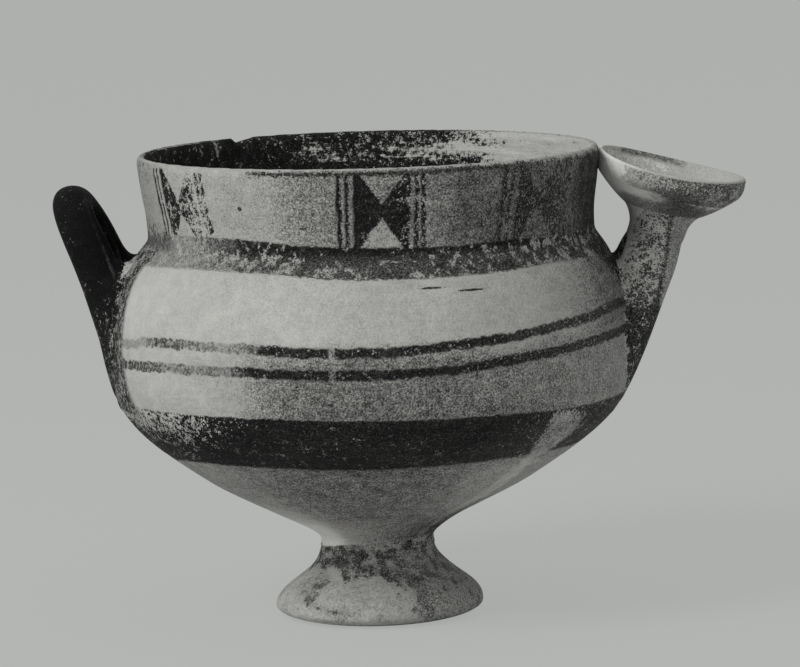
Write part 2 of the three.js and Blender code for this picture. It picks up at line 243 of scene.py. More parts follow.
def foot_profile():
    """From the top of the recess underneath, round the foot, to the top of its tenon."""
    recess_edge = (RECESS_TOP_RADIUS, RECESS_DEPTH)
    recess_side = bezier(
        recess_edge,
        (RECESS_TOP_RADIUS + RECESS_TOP_CURVE, RECESS_DEPTH),
        (REST_INNER_RADIUS - RECESS_FOOT_CURVE, RECESS_DEPTH * 0.4),
        (REST_INNER_RADIUS, 0),
        steps=24,
    )
    edge = bezier(
        (REST_OUTER_RADIUS, 0),
        (REST_OUTER_RADIUS + FOOT_EDGE_CURVE, 0),
        (FOOT_RADIUS, FOOT_EDGE_HEIGHT * 0.4),
        (FOOT_RADIUS, FOOT_EDGE_HEIGHT),
        steps=24,
    )
    flare = foot_flare()
    flare = flare[flare[:, 1] < RING_LOW]
    recess = path(np.array([(0, RECESS_DEPTH), recess_edge]), recess_side)
    outside = path(np.array([(REST_INNER_RADIUS, 0), (REST_OUTER_RADIUS, 0)]), edge, flare)
    ledge = (TENON_RADIUS, flare[-1, 1])
    tenon = np.array([flare[-1], ledge, (TENON_RADIUS, TENON_TOP), (0, TENON_TOP)])
    return path(spaced(recess, 2), spaced(outside, 1), spaced(tenon, 4))


def wall_radius(height):
    """The radius of the bowl's outer wall at a height."""
    wall = outer_wall()
    return float(np.interp(height, wall[:, 1], wall[:, 0]))


def ring_profile():
    """The luting ring: proud of the foot along its lower edge, and running on into the bowl's wall."""
    line = path(foot_flare(), outer_wall())
    line = line[(line[:, 1] > RING_LOW - 0.5) & (line[:, 1] < RING_HIGH)]
    line[:, 0] += np.linspace(RING_PROUD, -0.1, len(line))
    bore = TENON_RADIUS + 0.2
    back = np.array([line[-1], (bore, RING_HIGH), (bore, RING_LOW - 0.5), line[0]])
    return path(spaced(line, 0.7), spaced(back, 4))


def cup_inside_line():
    """The cup's inside, from its lip down to the middle of its floor."""
    inner = CUP_RADIUS - CUP_WALL
    lip, bend = (CUP_RADIUS - CUP_LIP, -CUP_LIP / 2), (inner * 0.6, -CUP_FLOOR_DEPTH * 0.72)
    side = bezier(lip, (inner - CUP_WALL * 0.2, -CUP_LIP_DEPTH), bend, steps=24)
    return path(side, bezier(bend, (inner * 0.3, -CUP_FLOOR_DEPTH), (0, -CUP_FLOOR_DEPTH), steps=16))


def cup_profile():
    """The cup, from the middle of its underside round to the middle of its floor, below its rim."""
    lip_round = CUP_LIP / 2
    turns = np.linspace(0, math.pi, 16)
    middle = CUP_RADIUS - lip_round
    lip = columns(middle + lip_round * np.cos(turns), lip_round * np.sin(turns) - lip_round)
    base = (CUP_BASE_RADIUS, -CUP_DEPTH)
    cone = bezier(
        base,
        (CUP_BASE_RADIUS + CUP_CONE_REACH, -CUP_DEPTH + CUP_CONE_CURVE),
        (CUP_RADIUS - CUP_SHOULDER_INSET, -CUP_LIP_DEPTH - CUP_SHOULDER_DROP),
        steps=24,
    )
    under_lip = (CUP_RADIUS, -CUP_LIP_DEPTH / 2)
    shoulder = bezier(cone[-1], (CUP_RADIUS, -CUP_LIP_DEPTH), under_lip, steps=12)
    underside = spaced(np.array([(0, -CUP_DEPTH), base]), 3)
    side = spaced(path(cone, shoulder, np.array([shoulder[-1], lip[0]])), 0.8)
    return path(underside, side, lip, spaced(cup_inside_line(), 1))


def stem_profile():
    """The stem, from the middle of its lower end to the middle of the top, where the cup sits."""
    end, top = (STEM_END_RADIUS, -STEM_END), (CUP_BASE_RADIUS, -CUP_DEPTH)
    side = bezier(
        end,
        (STEM_RADIUS, -STEM_END + STEM_END_CURVE),
        (STEM_RADIUS - STEM_TAPER, -CUP_DEPTH - STEM_TOP_CURVE),
        top,
        steps=32,
    )
    under, over = np.array([(0, -STEM_END), end]), np.array([top, (0, -CUP_DEPTH)])
    return path(spaced(under, 3), spaced(side, 0.8), spaced(over, 3))


# Meshes as arrays of points and faces


def ring_faces(count, sides, closed=False):
    """Faces between rings of points. Where it is closed, the last ring is joined to the first."""
    rows = count if closed else count - 1
    row, side = np.meshgrid(np.arange(rows), np.arange(sides), indexing="ij")
    above, beside = (row + 1) % count, (side + 1) % sides
    corners = ((row, side), (row, beside), (above, beside), (above, side))
    faces = columns(*(ring * sides + place for ring, place in corners))
    return faces.reshape(-1, 4).tolist()


def turned(profile, azimuths, closed=False):
    """A profile in radius and height, turned about the Z axis. An end on the axis becomes a pole."""
    sides = len(azimuths)
    on_axis = profile[:, 0] < LEAST_RADIUS
    inner = profile[~on_axis]
    radius, height = inner[:, :1], np.repeat(inner[:, 1:], sides, axis=1)
    points = columns(radius * np.sin(azimuths), -radius * np.cos(azimuths), height).reshape(-1, 3)
    faces = ring_faces(len(inner), sides, closed)
    for end, ring, order in ((0, 0, -1), (-1, (len(inner) - 1) * sides, 1)):
        if on_axis[end]:
            pole = len(points)
            points = np.vstack([points, (0, 0, profile[end, 1])])
            edges = [(ring + s, ring + (s + 1) % sides)[::order] for s in range(sides)]
            faces += [(pole, *edge) for edge in edges]
    return points, faces


def even_azimuths(sides):
    return np.linspace(-math.pi, math.pi, sides, endpoint=False)


def bowl_azimuths():
    """Azimuths round the bowl, closer together where the loops grow out of its wall."""
    azimuths = np.radians(np.arange(-180, 180, 0.05))
    nearness = [np.cos(azimuths - side * LOOP_AZIMUTH) for side in (-1, 1)]
    density = 1 + MORE_SIDES * (np.max(nearness, axis=0) > math.cos(LOOP_HALF_TURN))
    filled = np.cumsum(density) - density[0]
    return np.interp(np.linspace(0, filled[-1], BOWL_SIDES, endpoint=False), filled, azimuths)


def drift(heights):
    """How far the body's middle lies off its axis along X at these heights."""
    steps = np.arange(DRIFT_HEIGHTS[0], DRIFT_HEIGHTS[-1] + 1)
    line = np.interp(steps, DRIFT_HEIGHTS, DRIFT_SHIFTS)
    window = np.hanning(11)
    eased = np.convolve(np.pad(line, 5, mode="edge"), window / window.sum(), "valid")
    return np.interp(heights, steps, eased)


def waver(points, size, amount):
    """A slow unevenness of hand-made clay, for displacing points by."""
    x, y, z = (points / size).T
    waves = np.sin(x + 1.7 * z + 0.4) * np.sin(1.3 * y - 0.6 * z + 2.1)
    waves += 0.6 * np.sin(2.1 * y + 1.1 * x + 4) * np.sin(1.9 * z + 0.8 * x)
    return amount * waves / 1.6


def radii(points):
    return np.hypot(points[:, 0], points[:, 1])


def undrifted(points):
    """Points of the body as they would lie if it stood straight on its axis."""
    return points - drift(points[:, 2])[:, None] * (1, 0, 0)


# Distances, for running one piece into the next


BATCH = 4000
LEAST_SCALE = 1e-9
RING_REACH = 1.5


def in_batches(measure, points, *others):
    """What a measure finds for points, taken a few thousand at a time so that its arrays stay small."""
    starts = range(0, max(1, len(points)), BATCH)
    return np.concatenate([measure(points[start : start + BATCH], *others) for start in starts])


def distance_to_line(points, line):
    """Signed distances in a plane from points to a line of points. The line's left side is inside."""
    step = np.diff(line, axis=0)
    gap = points[:, None] - line[None, :-1]
    share = np.clip((gap * step).sum(axis=2) / (step**2).sum(axis=1), 0, 1)
    off = gap - share[..., None] * step
    distance = np.sqrt((off**2).sum(axis=2))
    nearest = distance.argmin(axis=1)
    rows = np.arange(len(points))
    ahead, aside = step[nearest], off[rows, nearest]
    side = ahead[:, 1] * aside[:, 0] - ahead[:, 0] * aside[:, 1]
    return distance[rows, nearest] * np.sign(side)


WALL_LINE = spaced(outer_wall(), 2)


def distance_to_turned(points, line):
    """How far points lie outside a line that is turned about the Z axis."""
    return in_batches(distance_to_line, columns(radii(points), points[:, 2]), line)


def distance_to_wall(points):
    """How far points lie outside the bowl's outer wall."""
    return distance_to_turned(undrifted(points), WALL_LINE)


def distance_to_rings(points, rings):
    """How far points lie outside a tube of elliptical rings."""
    gap = ((points[:, None] - rings["centre"][None]) ** 2).sum(axis=2)
    nearest = gap.argmin(axis=1)
    off = points - rings["centre"][nearest]
    a, b = rings["half_thickness"][nearest], rings["half_depth"][nearest]
    u, v, w = ((off * rings[key][nearest]).sum(axis=1) for key in ("across", "out", "along"))
    scaled = np.hypot(u / a, v / b) + LEAST_SCALE
    steep = np.hypot(u / a**2, v / b**2) + LEAST_SCALE
    beside = scaled * (scaled - 1) / steep
    past_end = np.maximum(np.abs(w) - RING_REACH, 0)
    return np.where(past_end > 0, np.hypot(np.maximum(beside, 0), past_end), beside)


def distance_to_loop(rings):
    """A measure of how far points lie outside a loop."""
    return lambda points: in_batches(distance_to_rings, points, rings)


FILLET_ROUNDS, FILLET_PULL, FILLET_SPARE = 14, 0.8, 0.8


def run_into(points, normals, own_distance, other_distance, fillets):
    """Moves points of one surface out along their normals to where it meets another one in a fillet.

    The fillets pair heights with widths.
    """
    widths = np.interp(points[:, 2], *zip(*fillets))
    moved = np.zeros(len(points))
    for _ in range(FILLET_ROUNDS):
        at = points + normals * moved[:, None]
        own, other = own_distance(at), other_distance(at)
        overlap = np.maximum(widths - np.abs(own - other), 0)
        joined = np.minimum(own, other) - overlap**2 / (4 * widths)
        moved = np.clip(moved - FILLET_PULL * joined, 0, widths / 4 + FILLET_SPARE)
    return points + normals * moved[:, None]


# Loops


def outer_face(loop, height):
    """How far out a loop's outer face lies at a height."""
    share = (height - ROOT_HEIGHT) / (loop["top_height"] - ROOT_HEIGHT)
    straight = root_reach(loop) * (1 - share) + loop["top_reach"] * share
    return straight - 4 * loop["bow"] * share * (1 - share)


def wall_reach(height, across):
    return math.sqrt(wall_radius(height) ** 2 - across**2)


def root_reach(loop):
    return wall_reach(ROOT_HEIGHT, loop["root_half_span"]) + loop["root_proud"]


def half_depth(loop, height):
    share = (height - ROOT_HEIGHT) / (loop["top_height"] - ROOT_HEIGHT)
    return loop["root_half_depth"] * (1 - share) + loop["top_half_depth"] * share


def loop_rings(loop):
    """Rings along a loop, from the tip of one root over the arch to the tip of the other.

    They are in the loop's own frame: X out from the bowl's axis, Y across and Z up. Each ring has its
    place along the loop in "part": 0 for the roots and 1 for the coil between them.
    """
    spring = loop["top_height"] - loop["arch_rise"]
    tip = ROOT_HEIGHT - loop["tip_drop"]
    rise = spring - ROOT_HEIGHT
    leg_heights = np.linspace(tip, spring, round((spring - tip) / RING_GAP))
    taper = (loop["arch_half_span"] - loop["root_half_span"]) / rise
    leg_across = loop["root_half_span"] + taper * (leg_heights - ROOT_HEIGHT)
    turns = np.linspace(0, math.pi, ARCH_RINGS + 2)[1:-1]
    arch_heights = spring + loop["arch_rise"] * np.sin(turns)
    arch_across = -loop["arch_half_span"] * np.cos(turns)
    heights = np.concatenate([leg_heights, arch_heights, leg_heights[::-1]])
    across = np.concatenate([-leg_across, arch_across, leg_across[::-1]])
    loop_rise = loop["top_height"] - ROOT_HEIGHT
    stretch = math.hypot(loop["top_reach"] - root_reach(loop), loop_rise) / loop_rise
    depth = half_depth(loop, heights)
    reach = outer_face(loop, heights) - depth * stretch
    centre = columns(reach, across, heights)
    along = unit(np.gradient(centre, axis=0))
    out = unit(np.array([1, 0, 0]) - along[:, :1] * along)
    sideways = np.cross(out, along)
    joint = ROOT_HEIGHT + WAD_RISE
    share = np.clip((heights - tip) / (joint - tip), 0, 1)
    spread = np.sin(math.pi * share) ** 2
    grown = np.sqrt(share)
    thickness = WAD_TIP_HALF_WIDTH * (1 - grown) + loop["half_thickness"] * grown
    thickness += (WAD_HALF_WIDTH - loop["half_thickness"]) * spread
    lowest = centre[0] + out[0] * depth[0]
    drawn_in = lowest[0] + WAD_TIP_SINK - wall_reach(lowest[2], lowest[1])
    face = centre + out * depth[:, None]
    face[:, 0] -= drawn_in * (1 - share) ** 4
    thin = WAD_TIP_HALF_DEPTH / loop["root_half_depth"]
    depth = depth * (thin * (1 - grown) + grown)
    return {
        "centre": face - out * depth[:, None],
        "along": along,
        "out": out,
        "across": sideways,
        "half_thickness": thickness,
        "half_depth": depth,
        "part": (share >= 1).astype(int),
    }


def turned_rings(rings, turn):
    """Rings of a loop, turned about the bowl's axis into place."""
    matrix = np.array(Matrix.Rotation(turn, 3, "Z"))
    directions = ("centre", "along", "out", "across")
    return {
        key: value @ matrix.T if key in directions else value
        for key, value in rings.items()
    }


def tube(rings):
    """Points of a skin over rings, and their normals, as arrays of rings by sides."""
    turns = np.linspace(0, 2 * math.pi, COIL_SIDES, endpoint=False)[:, None]
    grow = 1 + COIL_SQUARENESS * np.sin(2 * turns) ** 2
    cosine, sine = np.cos(turns), np.sin(turns)
    centre, across, out = (rings[key][:, None] for key in ("centre", "across", "out"))
    thick, deep = (rings[key][:, None, None] for key in ("half_thickness", "half_depth"))
    points = centre + across * (thick * (cosine * grow)) + out * (deep * (sine * grow))
    return points, unit(across * (deep * cosine) + out * (thick * sine))


# Pieces


def unit(vectors):
    return vectors / np.maximum(np.linalg.norm(vectors, axis=-1, keepdims=True), 1e-12)


def vertex_normals(points, faces):
    """The normal at each point, from a plain mesh that is made and thrown away."""
    mesh = bpy.data.meshes.new("normals")
    mesh.from_pydata(points.tolist(), [], faces)
    mesh.update()
    normals = np.zeros(len(points) * 3, np.float32)
    mesh.vertex_normals.foreach_get("vector", normals)
    bpy.data.meshes.remove(mesh)
    return normals.reshape(-1, 3).astype(float)


def add_object(name, data):
    """An object in the scene, for a mesh, a lamp or a camera."""
    made = bpy.data.objects.new(name, data)
    bpy.context.scene.collection.objects.link(made)
    return made


def make_piece(name, node, points, faces, material, normals=None):
    """A smooth mesh, with its points in millimetres from the bowl's axis, that stands for a CAD node."""
    mesh = bpy.data.meshes.new(name)
    placed = (points + (AXIS_X, 0, 0)) * MM
    mesh.from_pydata(placed.tolist(), [], faces)
    mesh.shade_smooth()
    mesh.materials.append(material)
    mesh.update()
    if normals is not None:
        mesh.normals_split_custom_set_from_vertices(normals.tolist())
    piece = add_object(name, mesh)
    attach(piece, "root")
    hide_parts(node)
    return piece


CHIP_START, CHIP_END, CHIP_DEPTH, CHIP_REACH = -140, -147, 2.6, 236
LIP_SPREAD, LIP_SPREAD_HEIGHT = 1.3, 226
LOOP_MARGIN = 25


def moved_out(points, amounts):
    """Points moved away from the Z axis."""
    return points + unit(points * (1, 1, 0)) * amounts[:, None]


def near_rim(points, start):
    """0 up to the height where it starts, and 1 at the rim."""
    return np.clip((points[:, 2] - start) / (RIM_HEIGHT - start), 0, 1)


def spread_lip(points):
    """Lets the lip flare out a little more than the CAD part's does."""
    return moved_out(points, LIP_SPREAD * near_rim(points, LIP_SPREAD_HEIGHT) ** 2)


def chip_rim(points):
    """Leaves the rim a little ragged, and lower where a flake has broken off its back."""
    azimuths = np.degrees(np.arctan2(points[:, 0], -points[:, 1]))
    share = np.interp(azimuths, (CHIP_END, CHIP_START, CHIP_START + 0.6), (0, 1, 0))
    ragged = 0.3 * np.abs(np.sin(azimuths * 0.9) * np.sin(azimuths * 0.37 + 1))
    points[:, 2] -= (CHIP_DEPTH * share + ragged) * near_rim(points, CHIP_REACH)


def thrown(profile, azimuths, closed=False):
    """A profile turned about the axis, as unevenly as a potter's hands leave it."""
    points, faces = turned(profile, azimuths, closed)
    return moved_out(points, waver(points, *BODY_WAVER)), faces


def build_bowl(loops, material):
    points, faces = thrown(bowl_profile(), bowl_azimuths())
    points = spread_lip(points)
    chip_rim(points)
    points[:, 0] += drift(points[:, 2])
    normals = vertex_normals(points, faces)
    outside = (distance_to_wall(points) > -2) & (points[:, 2] < LIP_HEIGHT)
    for rings, fillets in loops:
        low = rings["centre"].min(axis=0) - LOOP_MARGIN
        high = rings["centre"].max(axis=0) + LOOP_MARGIN
        near = outside & np.all((points > low) & (points < high), axis=1)
        surface = points[near], normals[near]
        points[near] = run_into(*surface, distance_to_wall, distance_to_loop(rings), fillets)
    return make_piece("painted_bowl", "bowl", points, faces, material)


def build_turned(name, node, profile, material, closed=False):
    points, faces = thrown(profile, even_azimuths(FOOT_SIDES), closed)
    points[:, 0] += drift(points[:, 2])
    return make_piece(name, node, points, faces, material)


def capped(points, normals):
    """A tube of rings by sides as a closed mesh, whose end caps have points of their own."""
    count, sides = points.shape[:2]
    faces = ring_faces(count, sides)
    flat, flat_normals = points.reshape(-1, 3), normals.reshape(-1, 3)
    for end, inward in ((0, 1), (count - 1, count - 2)):
        first = len(flat)
        middle = points[end].mean(axis=0)
        facing = unit(middle - points[inward].mean(axis=0))
        flat = np.vstack([flat, points[end], middle])
        flat_normals = np.vstack([flat_normals, np.tile(facing, (sides + 1, 1))])
        fan = [(first + s, first + (s + 1) % sides, first + sides) for s in range(sides)]
        faces += [face[::-1] for face in fan] if end == 0 else fan
    return flat, flat_normals, faces


def smooth_normals(points):
    """Normals of a tube of rings by sides, from how its own points run."""
    along = np.gradient(points, axis=0)
    round_ = np.roll(points, -1, axis=1) - np.roll(points, 1, axis=1)
    return unit(np.cross(round_, along))


def cup_matrix():
    """Where the cup is: turned about the middle of its rim, set out from the bowl's axis."""
    return (
        Matrix.Rotation(SETBACK, 4, "Z")
        @ Matrix.Translation((CUP_REACH, 0, CUP_RIM_HEIGHT))
        @ Matrix.Rotation(CUP_TURN, 4, "X")
        @ Matrix.Rotation(CUP_TIP, 4, "Y")
    )


def placed_by(matrix, points):
    matrix = np.array(matrix)
    return points @ matrix[:3, :3].T + matrix[:3, 3]


STEM_SIDE = stem_profile()[stem_profile()[:, 0] > 1]


def distance_to_stem(points):
    """How far points lie outside the stem under the cup."""
    return distance_to_turned(placed_by(cup_matrix().inverted(), points), STEM_SIDE)


def distance_to_wall_or_stem(points):
    return np.minimum(distance_to_wall(points), distance_to_stem(points))


def build_loop(loop, rings, material, coil_slot, distance_to_rest):
    """A loop as three pieces that share one surface: the coil, and the wad at the foot of each leg."""
    points, normals = tube(rings)
    flat, flat_normals = points.reshape(-1, 3), normals.reshape(-1, 3)
    flat = flat + flat_normals * waver(flat, *COIL_WAVER)[:, None]
    own_distance = distance_to_loop(rings)
    flat = run_into(flat, flat_normals, own_distance, distance_to_rest, loop["fillets"])
    points = flat.reshape(points.shape)
    normals = smooth_normals(points)
    coil = np.flatnonzero(rings["part"] == 1)
    first, last = coil[0], coil[-1]
    front, back = ("front", "back") if math.cos(loop["turn"]) > 0 else ("back", "front")
    side = loop["side"]
    stretches = (
        (f"{side}_{front}_root", slice(0, first + 1), "dark_paint"),
        (f"{side}_handle", slice(first, last + 1), coil_slot),
        (f"{side}_{back}_root", slice(last, None), "dark_paint"),
    )
    for node, stretch, slot in stretches:
        mesh_points, mesh_normals, faces = capped(points[stretch], normals[stretch])
        make_piece(f"fired_{node}", node, mesh_points, faces, material, mesh_normals)


def rim_bend(azimuths):
    """How far the cup's rim is bent down, in front and behind, at azimuths in radians."""
    return 1.2 * np.cos(2 * azimuths + 0.4) + 0.8 * np.cos(azimuths + 0.35)


def cup_warp(points):
    """How far points of the cup move up as its rim is bent."""
    azimuths = np.arctan2(points[:, 0], -points[:, 1])
    share = np.clip((points[:, 2] + CUP_DEPTH) / CUP_DEPTH, 0, 1)
    return -rim_bend(azimuths) * share**2


def build_cup(material):
    points, faces = turned(cup_profile(), even_azimuths(CUP_SIDES))
    points = moved_out(points, waver(points, *CUP_WAVER))
    points[:, 2] += cup_warp(points)
    points = placed_by(cup_matrix(), points)
    return make_piece("worn_cup", "handle_cup", points, faces, material)


def build_stem(rings, material):
    points, faces = turned(stem_profile(), even_azimuths(STEM_SIDES))
    points = placed_by(cup_matrix(), points)
    normals = vertex_normals(points, faces)
    fillets = RIGHT_LOOP["fillets"]
    points = run_into(points, normals, distance_to_stem, distance_to_loop(rings), fillets)
    return make_piece("flecked_stem", "cup_stem", points, faces, material)


# Paint: fields of numbers over a surface, built from nodes


def joined(operation, swapped=False):
    """A method of Field that puts it through a math node, with the other value if there is one."""

    def method(field, *others):
        values = (*others, field) if swapped else (field, *others)
        return field.painter.math(operation, *values)

    return method


class Field:
    """A number that varies over the surface: a node's output that can be used in sums."""

    def __init__(self, painter, socket):
        self.painter, self.socket = painter, socket

    __add__ = __radd__ = joined("ADD")
    __mul__ = __rmul__ = joined("MULTIPLY")
    __sub__, __rsub__ = joined("SUBTRACT"), joined("SUBTRACT", swapped=True)
    __truediv__, __pow__, __abs__ = joined("DIVIDE"), joined("POWER"), joined("ABSOLUTE")


def feed(tree, node, inputs):
    """Sets a node's inputs, by name or number, to plain values or to the outputs that they take."""
    for key, value in dict(inputs).items():
        value = getattr(value, "socket", value)
        if isinstance(value, bpy.types.NodeSocket):
            tree.links.new(value, node.inputs[key])
        else:
            node.inputs[key].default_value = value


def add_node(tree, kind, inputs=(), **settings):
    node = tree.nodes.new("ShaderNode" + kind)
    for name, setting in settings.items():
        setattr(node, name, setting)
    feed(tree, node, inputs)
    return node


class Painter:
    """Builds one clay material. Its places are in millimetres from the bowl's axis and the ground."""

    def __init__(self, name):
        self.material = bpy.data.materials.new(name)
        self.material.use_nodes = True
        self.tree = self.material.node_tree
        self.seeds = 0
        place = add_node(self.tree, "TexCoord").outputs["Object"]
        scaled = self.vector("MULTIPLY", place, (1 / MM, 1 / MM, 1 / MM))
        self.place = self.vector("SUBTRACT", scaled, (AXIS_X, 0, 0))
        parts = add_node(self.tree, "SeparateXYZ", {0: self.place}).outputs
        self.x, self.y, self.height = (Field(self, part) for part in parts)
        self.azimuth = self.azimuth_about(0, 0)

    def field(self, kind, inputs, output=0, **settings):
        return Field(self, add_node(self.tree, kind, inputs, **settings).outputs[output])

    def vector(self, operation, place, amounts):
        inputs = {0: place, 1: amounts}
        return add_node(self.tree, "VectorMath", inputs, operation=operation).outputs[0]

    def math(self, operation, *values):
        return self.field("Math", enumerate(values), operation=operation)

    def azimuth_about(self, x, y):
        """The azimuth round an upright line through x and y, in degrees from the front."""
        turn = self.math("ARCTAN2", self.x - x, (self.y - y) * -1)
        return turn * (180 / math.pi)

    def smallest(self, *values):
        return reduce(partial(self.math, "MINIMUM"), values)

    def largest(self, *values):
        return reduce(partial(self.math, "MAXIMUM"), values)

    def ramp(self, value, low, high, **settings):
        """0 where value is low, 1 where it is high, and even in between."""
        inputs = {"Value": value, "From Min": low, "From Max": high}
        return self.field("MapRange", inputs, "Result", **settings)

    def step(self, value, soft):
        """0 where value is under 0 and 1 where it is over 0, with an edge that is soft by that much."""
        return self.ramp(value, -soft, soft, interpolation_type="SMOOTHSTEP")

    def mix(self, share, first, second):
        return self.field("Mix", {0: share, 2: first, 3: second})

    def coat(self, tone, *coats):
        """A tone under coats that each have the share they cover and their own tone."""
        for share, over in coats:
            tone = self.mix(share, tone, over)
        return tone

    def curve(self, value, points):
        """A smooth line through points that each pair a value with a result."""
        given, results = zip(*points)
        start, reach = given[0], given[-1] - given[0]
        low, rise = min(results), max(results) - min(results)
        spread = [((a - start) / reach, (b - low) / rise) for a, b in points]
        node = add_node(self.tree, "FloatCurve", {"Value": self.ramp(value, start, given[-1])})
        line = node.mapping.curves[0]
        line.points[0].location, line.points[-1].location = spread[0], spread[-1]
        for point in spread[1:-1]:
            line.points.new(*point)
        node.mapping.update()
        return Field(self, node.outputs[0]) * rise + low

    def up(self, low, high):
        """0 at the height low and 1 at the height high, which may lie below it."""
        return self.ramp(self.height, low, high)

    def across(self, low, high):
        """0 at the azimuth low and 1 at the azimuth high, which may be the smaller one."""
        return self.ramp(self.azimuth, low, high)

    def upwards(self, points):
        """A smooth line up the object, through points that each pair a height with a result."""
        return self.curve(self.height, points)

    def around(self, points):
        """A smooth line round the bowl, closed at the back, through azimuths with their results."""
        return self.curve(self.azimuth, (*points, (180, points[0][1])))

    def texture(self, kind, place, shift, inputs, output=0, **settings):
        """A texture at a place, shifted further each time, so that no two in a material are alike."""
        self.seeds += 1
        shifted = self.vector("ADD", place, [along * self.seeds + by for along, by in shift])
        return self.field(kind, {"Vector": shifted, **inputs}, output, **settings)

    def noise(self, size, detail=2, roughness=0.5, stretch=(1, 1, 1)):
        """Cloudy noise, mostly from -2 to 2, with clouds about size across, times stretch."""
        place = self.vector("MULTIPLY", self.place, [1 / (size * along) for along in stretch])
        inputs = {"Scale": 1, "Detail": detail, "Roughness": roughness}
        cloud = self.texture("TexNoise", place, ((7.3, 0), (0, 3.1), (-5.7, 0)), inputs)
        return (cloud - 0.5) / NOISE_SPREAD

    def cracks(self, size, width):
        """1 on the straight lines between cells that are about size across."""
        gap = self.texture(
            "TexVoronoi",
            self.place,
            ((31, 0), (0, 17), (0, 5)),
            {"Scale": 1 / size},
            "Distance",
            feature="DISTANCE_TO_EDGE",
        )
        return self.step(width / size - gap, 0.4 * width / size)

    def finish(self, tone, roughness, relief):
        """Sets the surface: its tone, black at 0 and white at 1, its roughness, and its relief in mm."""
        # Painted light: calmer grain on the left, where the key light falls.
        calm = self.ramp(self.x, *CALM_FROM_TO) * CALM
        tone = tone + self.grain * self.curve(tone, GRAIN_BY_TONE) * (1 - calm)
        light = self.largest(tone, DARKEST) ** SCREEN_GAMMA
        surface = {
            "Base Color": self.field("CombineColor", enumerate((light, light, light * WARMTH))),
            "Roughness": roughness,
            "Normal": self.field("Bump", {"Distance": MM, "Height": relief}),
            "Specular IOR Level": GLOSS,
        }
        feed(self.tree, self.tree.nodes["Principled BSDF"], surface)
        return self.material


# Tones run from 0 to 1 as a screen shows them, and the blue share of each is a little lower
SCREEN_GAMMA = 2.2
DARKEST = 0.02
WARMTH = 0.95
GLOSS = 0.2
NOISE_SPREAD = 0.1

# The grain by tone, and where along X, and by what share, it grows calmer towards the left. This is
# painted
# light: the key light falls on the left and washes the grain out there.
CALM_FROM_TO, CALM = (-45, -115), 0.55
GRAIN_BY_TONE = (
    (0, 0.03), (0.12, 0.05), (0.3, 0.08), (0.45, 0.09), (0.56, 0.06), (0.66, 0.025), (1, 0.01),
)

# Heights of the painted bands round the bowl, as pairs of azimuth and height
UPPER_BAND_TOP = (
    (-180, 208.5), (-110, 208), (-71, 208.8), (-44, 211.9), (-28, 211.2), (-15, 209), (10, 207.2),
    (23, 206.6), (37, 207.5), (59, 205.7), (110, 206.5),
)
UPPER_BAND_FOOT = (
    (-180, 193), (-100, 193), (-62, 194.1), (-41, 195.6), (-14, 193.9), (9, 192), (34, 192.3),
    (50, 193.7), (68, 193.1), (120, 193),
)
UPPER_LINE = (
    (-180, 158), (-100, 155), (-70, 154), (-57, 157.3), (-40, 158.7), (-13, 157), (0, 156.4),
    (12, 157.1), (21, 158.4), (39, 160.9), (52, 163.6), (60, 164.5), (70, 166.4), (85, 166.5),
    (130, 160),
)
LOWER_LINE = (
    (-180, 146), (-100, 144), (-67, 143.9), (-37, 146.5), (-13, 146), (4, 145.4), (21, 146.3),
    (30, 148), (39, 149.3), (52, 150.9), (60, 151.8), (70, 152.5), (85, 152.3), (130, 147),
)
BROAD_BAND_TOP = (
    (-180, 121), (-90, 121), (-61, 122.3), (-25, 122.9), (-3, 121.9), (30, 120.9), (77, 118.9),
)
BROAD_BAND_FOOT = (
    (-180, 93), (-100, 88), (-73, 89.7), (-32, 94.4), (9, 94.1), (36, 94.7), (100, 93),
)
LINE_HALF_WIDTH = 2.4

# Panels round the neck: azimuth, lean in degrees for each millimetre of height, and spread
PANELS = (
    (-180, 0, 1), (-131, 0, 1), (-51.8, -0.06, 1), (5.6, 0.01, 1), (48.6, 0.04, 1.15), (131, 0, 1),
    (180, 0, 1),
)
PANEL_MIDDLE = 226
PANEL_TOP = 245.3
FIELD_HALF_TURN = 6.85
STRIPES = ((-10.8, -9.9), (-8.8, -8.1), (7.9, 8.9), (9.5, 10.6))
UPPER_APEX, LOWER_APEX = 229.5, 223
TRIANGLE_SLOPE = 0.35

# How light the slip is, by height and round the bowl. Part of this is the slip's own mottling, and part
# is
# painted shade: round the bowl the tables darken the right side, away from the key light on the left,
# most of all by the right loop's root, and by height they darken the neck, which faces a little
# downwards. By height the lower wall is darker too.
SLIP_AND_SHADE_BY_HEIGHT = (
    (36, 0.62), (48, 0.6), (62, 0.52), (90, 0.5), (122, 0.68), (150, 0.7), (190, 0.7), (207, 0.62),
    (225, 0.58), (248, 0.6),
)
NECK_SLIP_AND_SHADE = (
    (-180, 0.8), (-100, 0.95), (-60, 1.0), (-30, 1.04), (-14, 0.84), (15, 0.78), (32, 0.6),
    (62, 0.56), (76, 0.34), (95, 0.4), (120, 0.7),
)
SHOULDER_SLIP_AND_SHADE = (
    (-180, 0.95), (-100, 1.0), (-50, 0.97), (-15, 0.95), (30, 0.94), (60, 0.75), (76, 0.55),
    (110, 0.8),
)
SLIP_LOW = (
    (-180, 0.8), (-100, 0.95), (-40, 0.93), (-22, 0.75), (0, 0.58), (22, 0.62), (55, 0.74),
    (110, 0.8),
)
SLIP_LOWEST = (
    (-180, 0.9), (-100, 1.05), (-50, 1.06), (-10, 0.8), (20, 0.86), (55, 1.18), (110, 1.05),
)
WAIST_SLIP_AND_SHADE = (
    (-180, 0.9), (-100, 1.2), (-50, 1.45), (-25, 1.1), (10, 0.85), (40, 0.64), (75, 0.5),
    (120, 0.7),
)


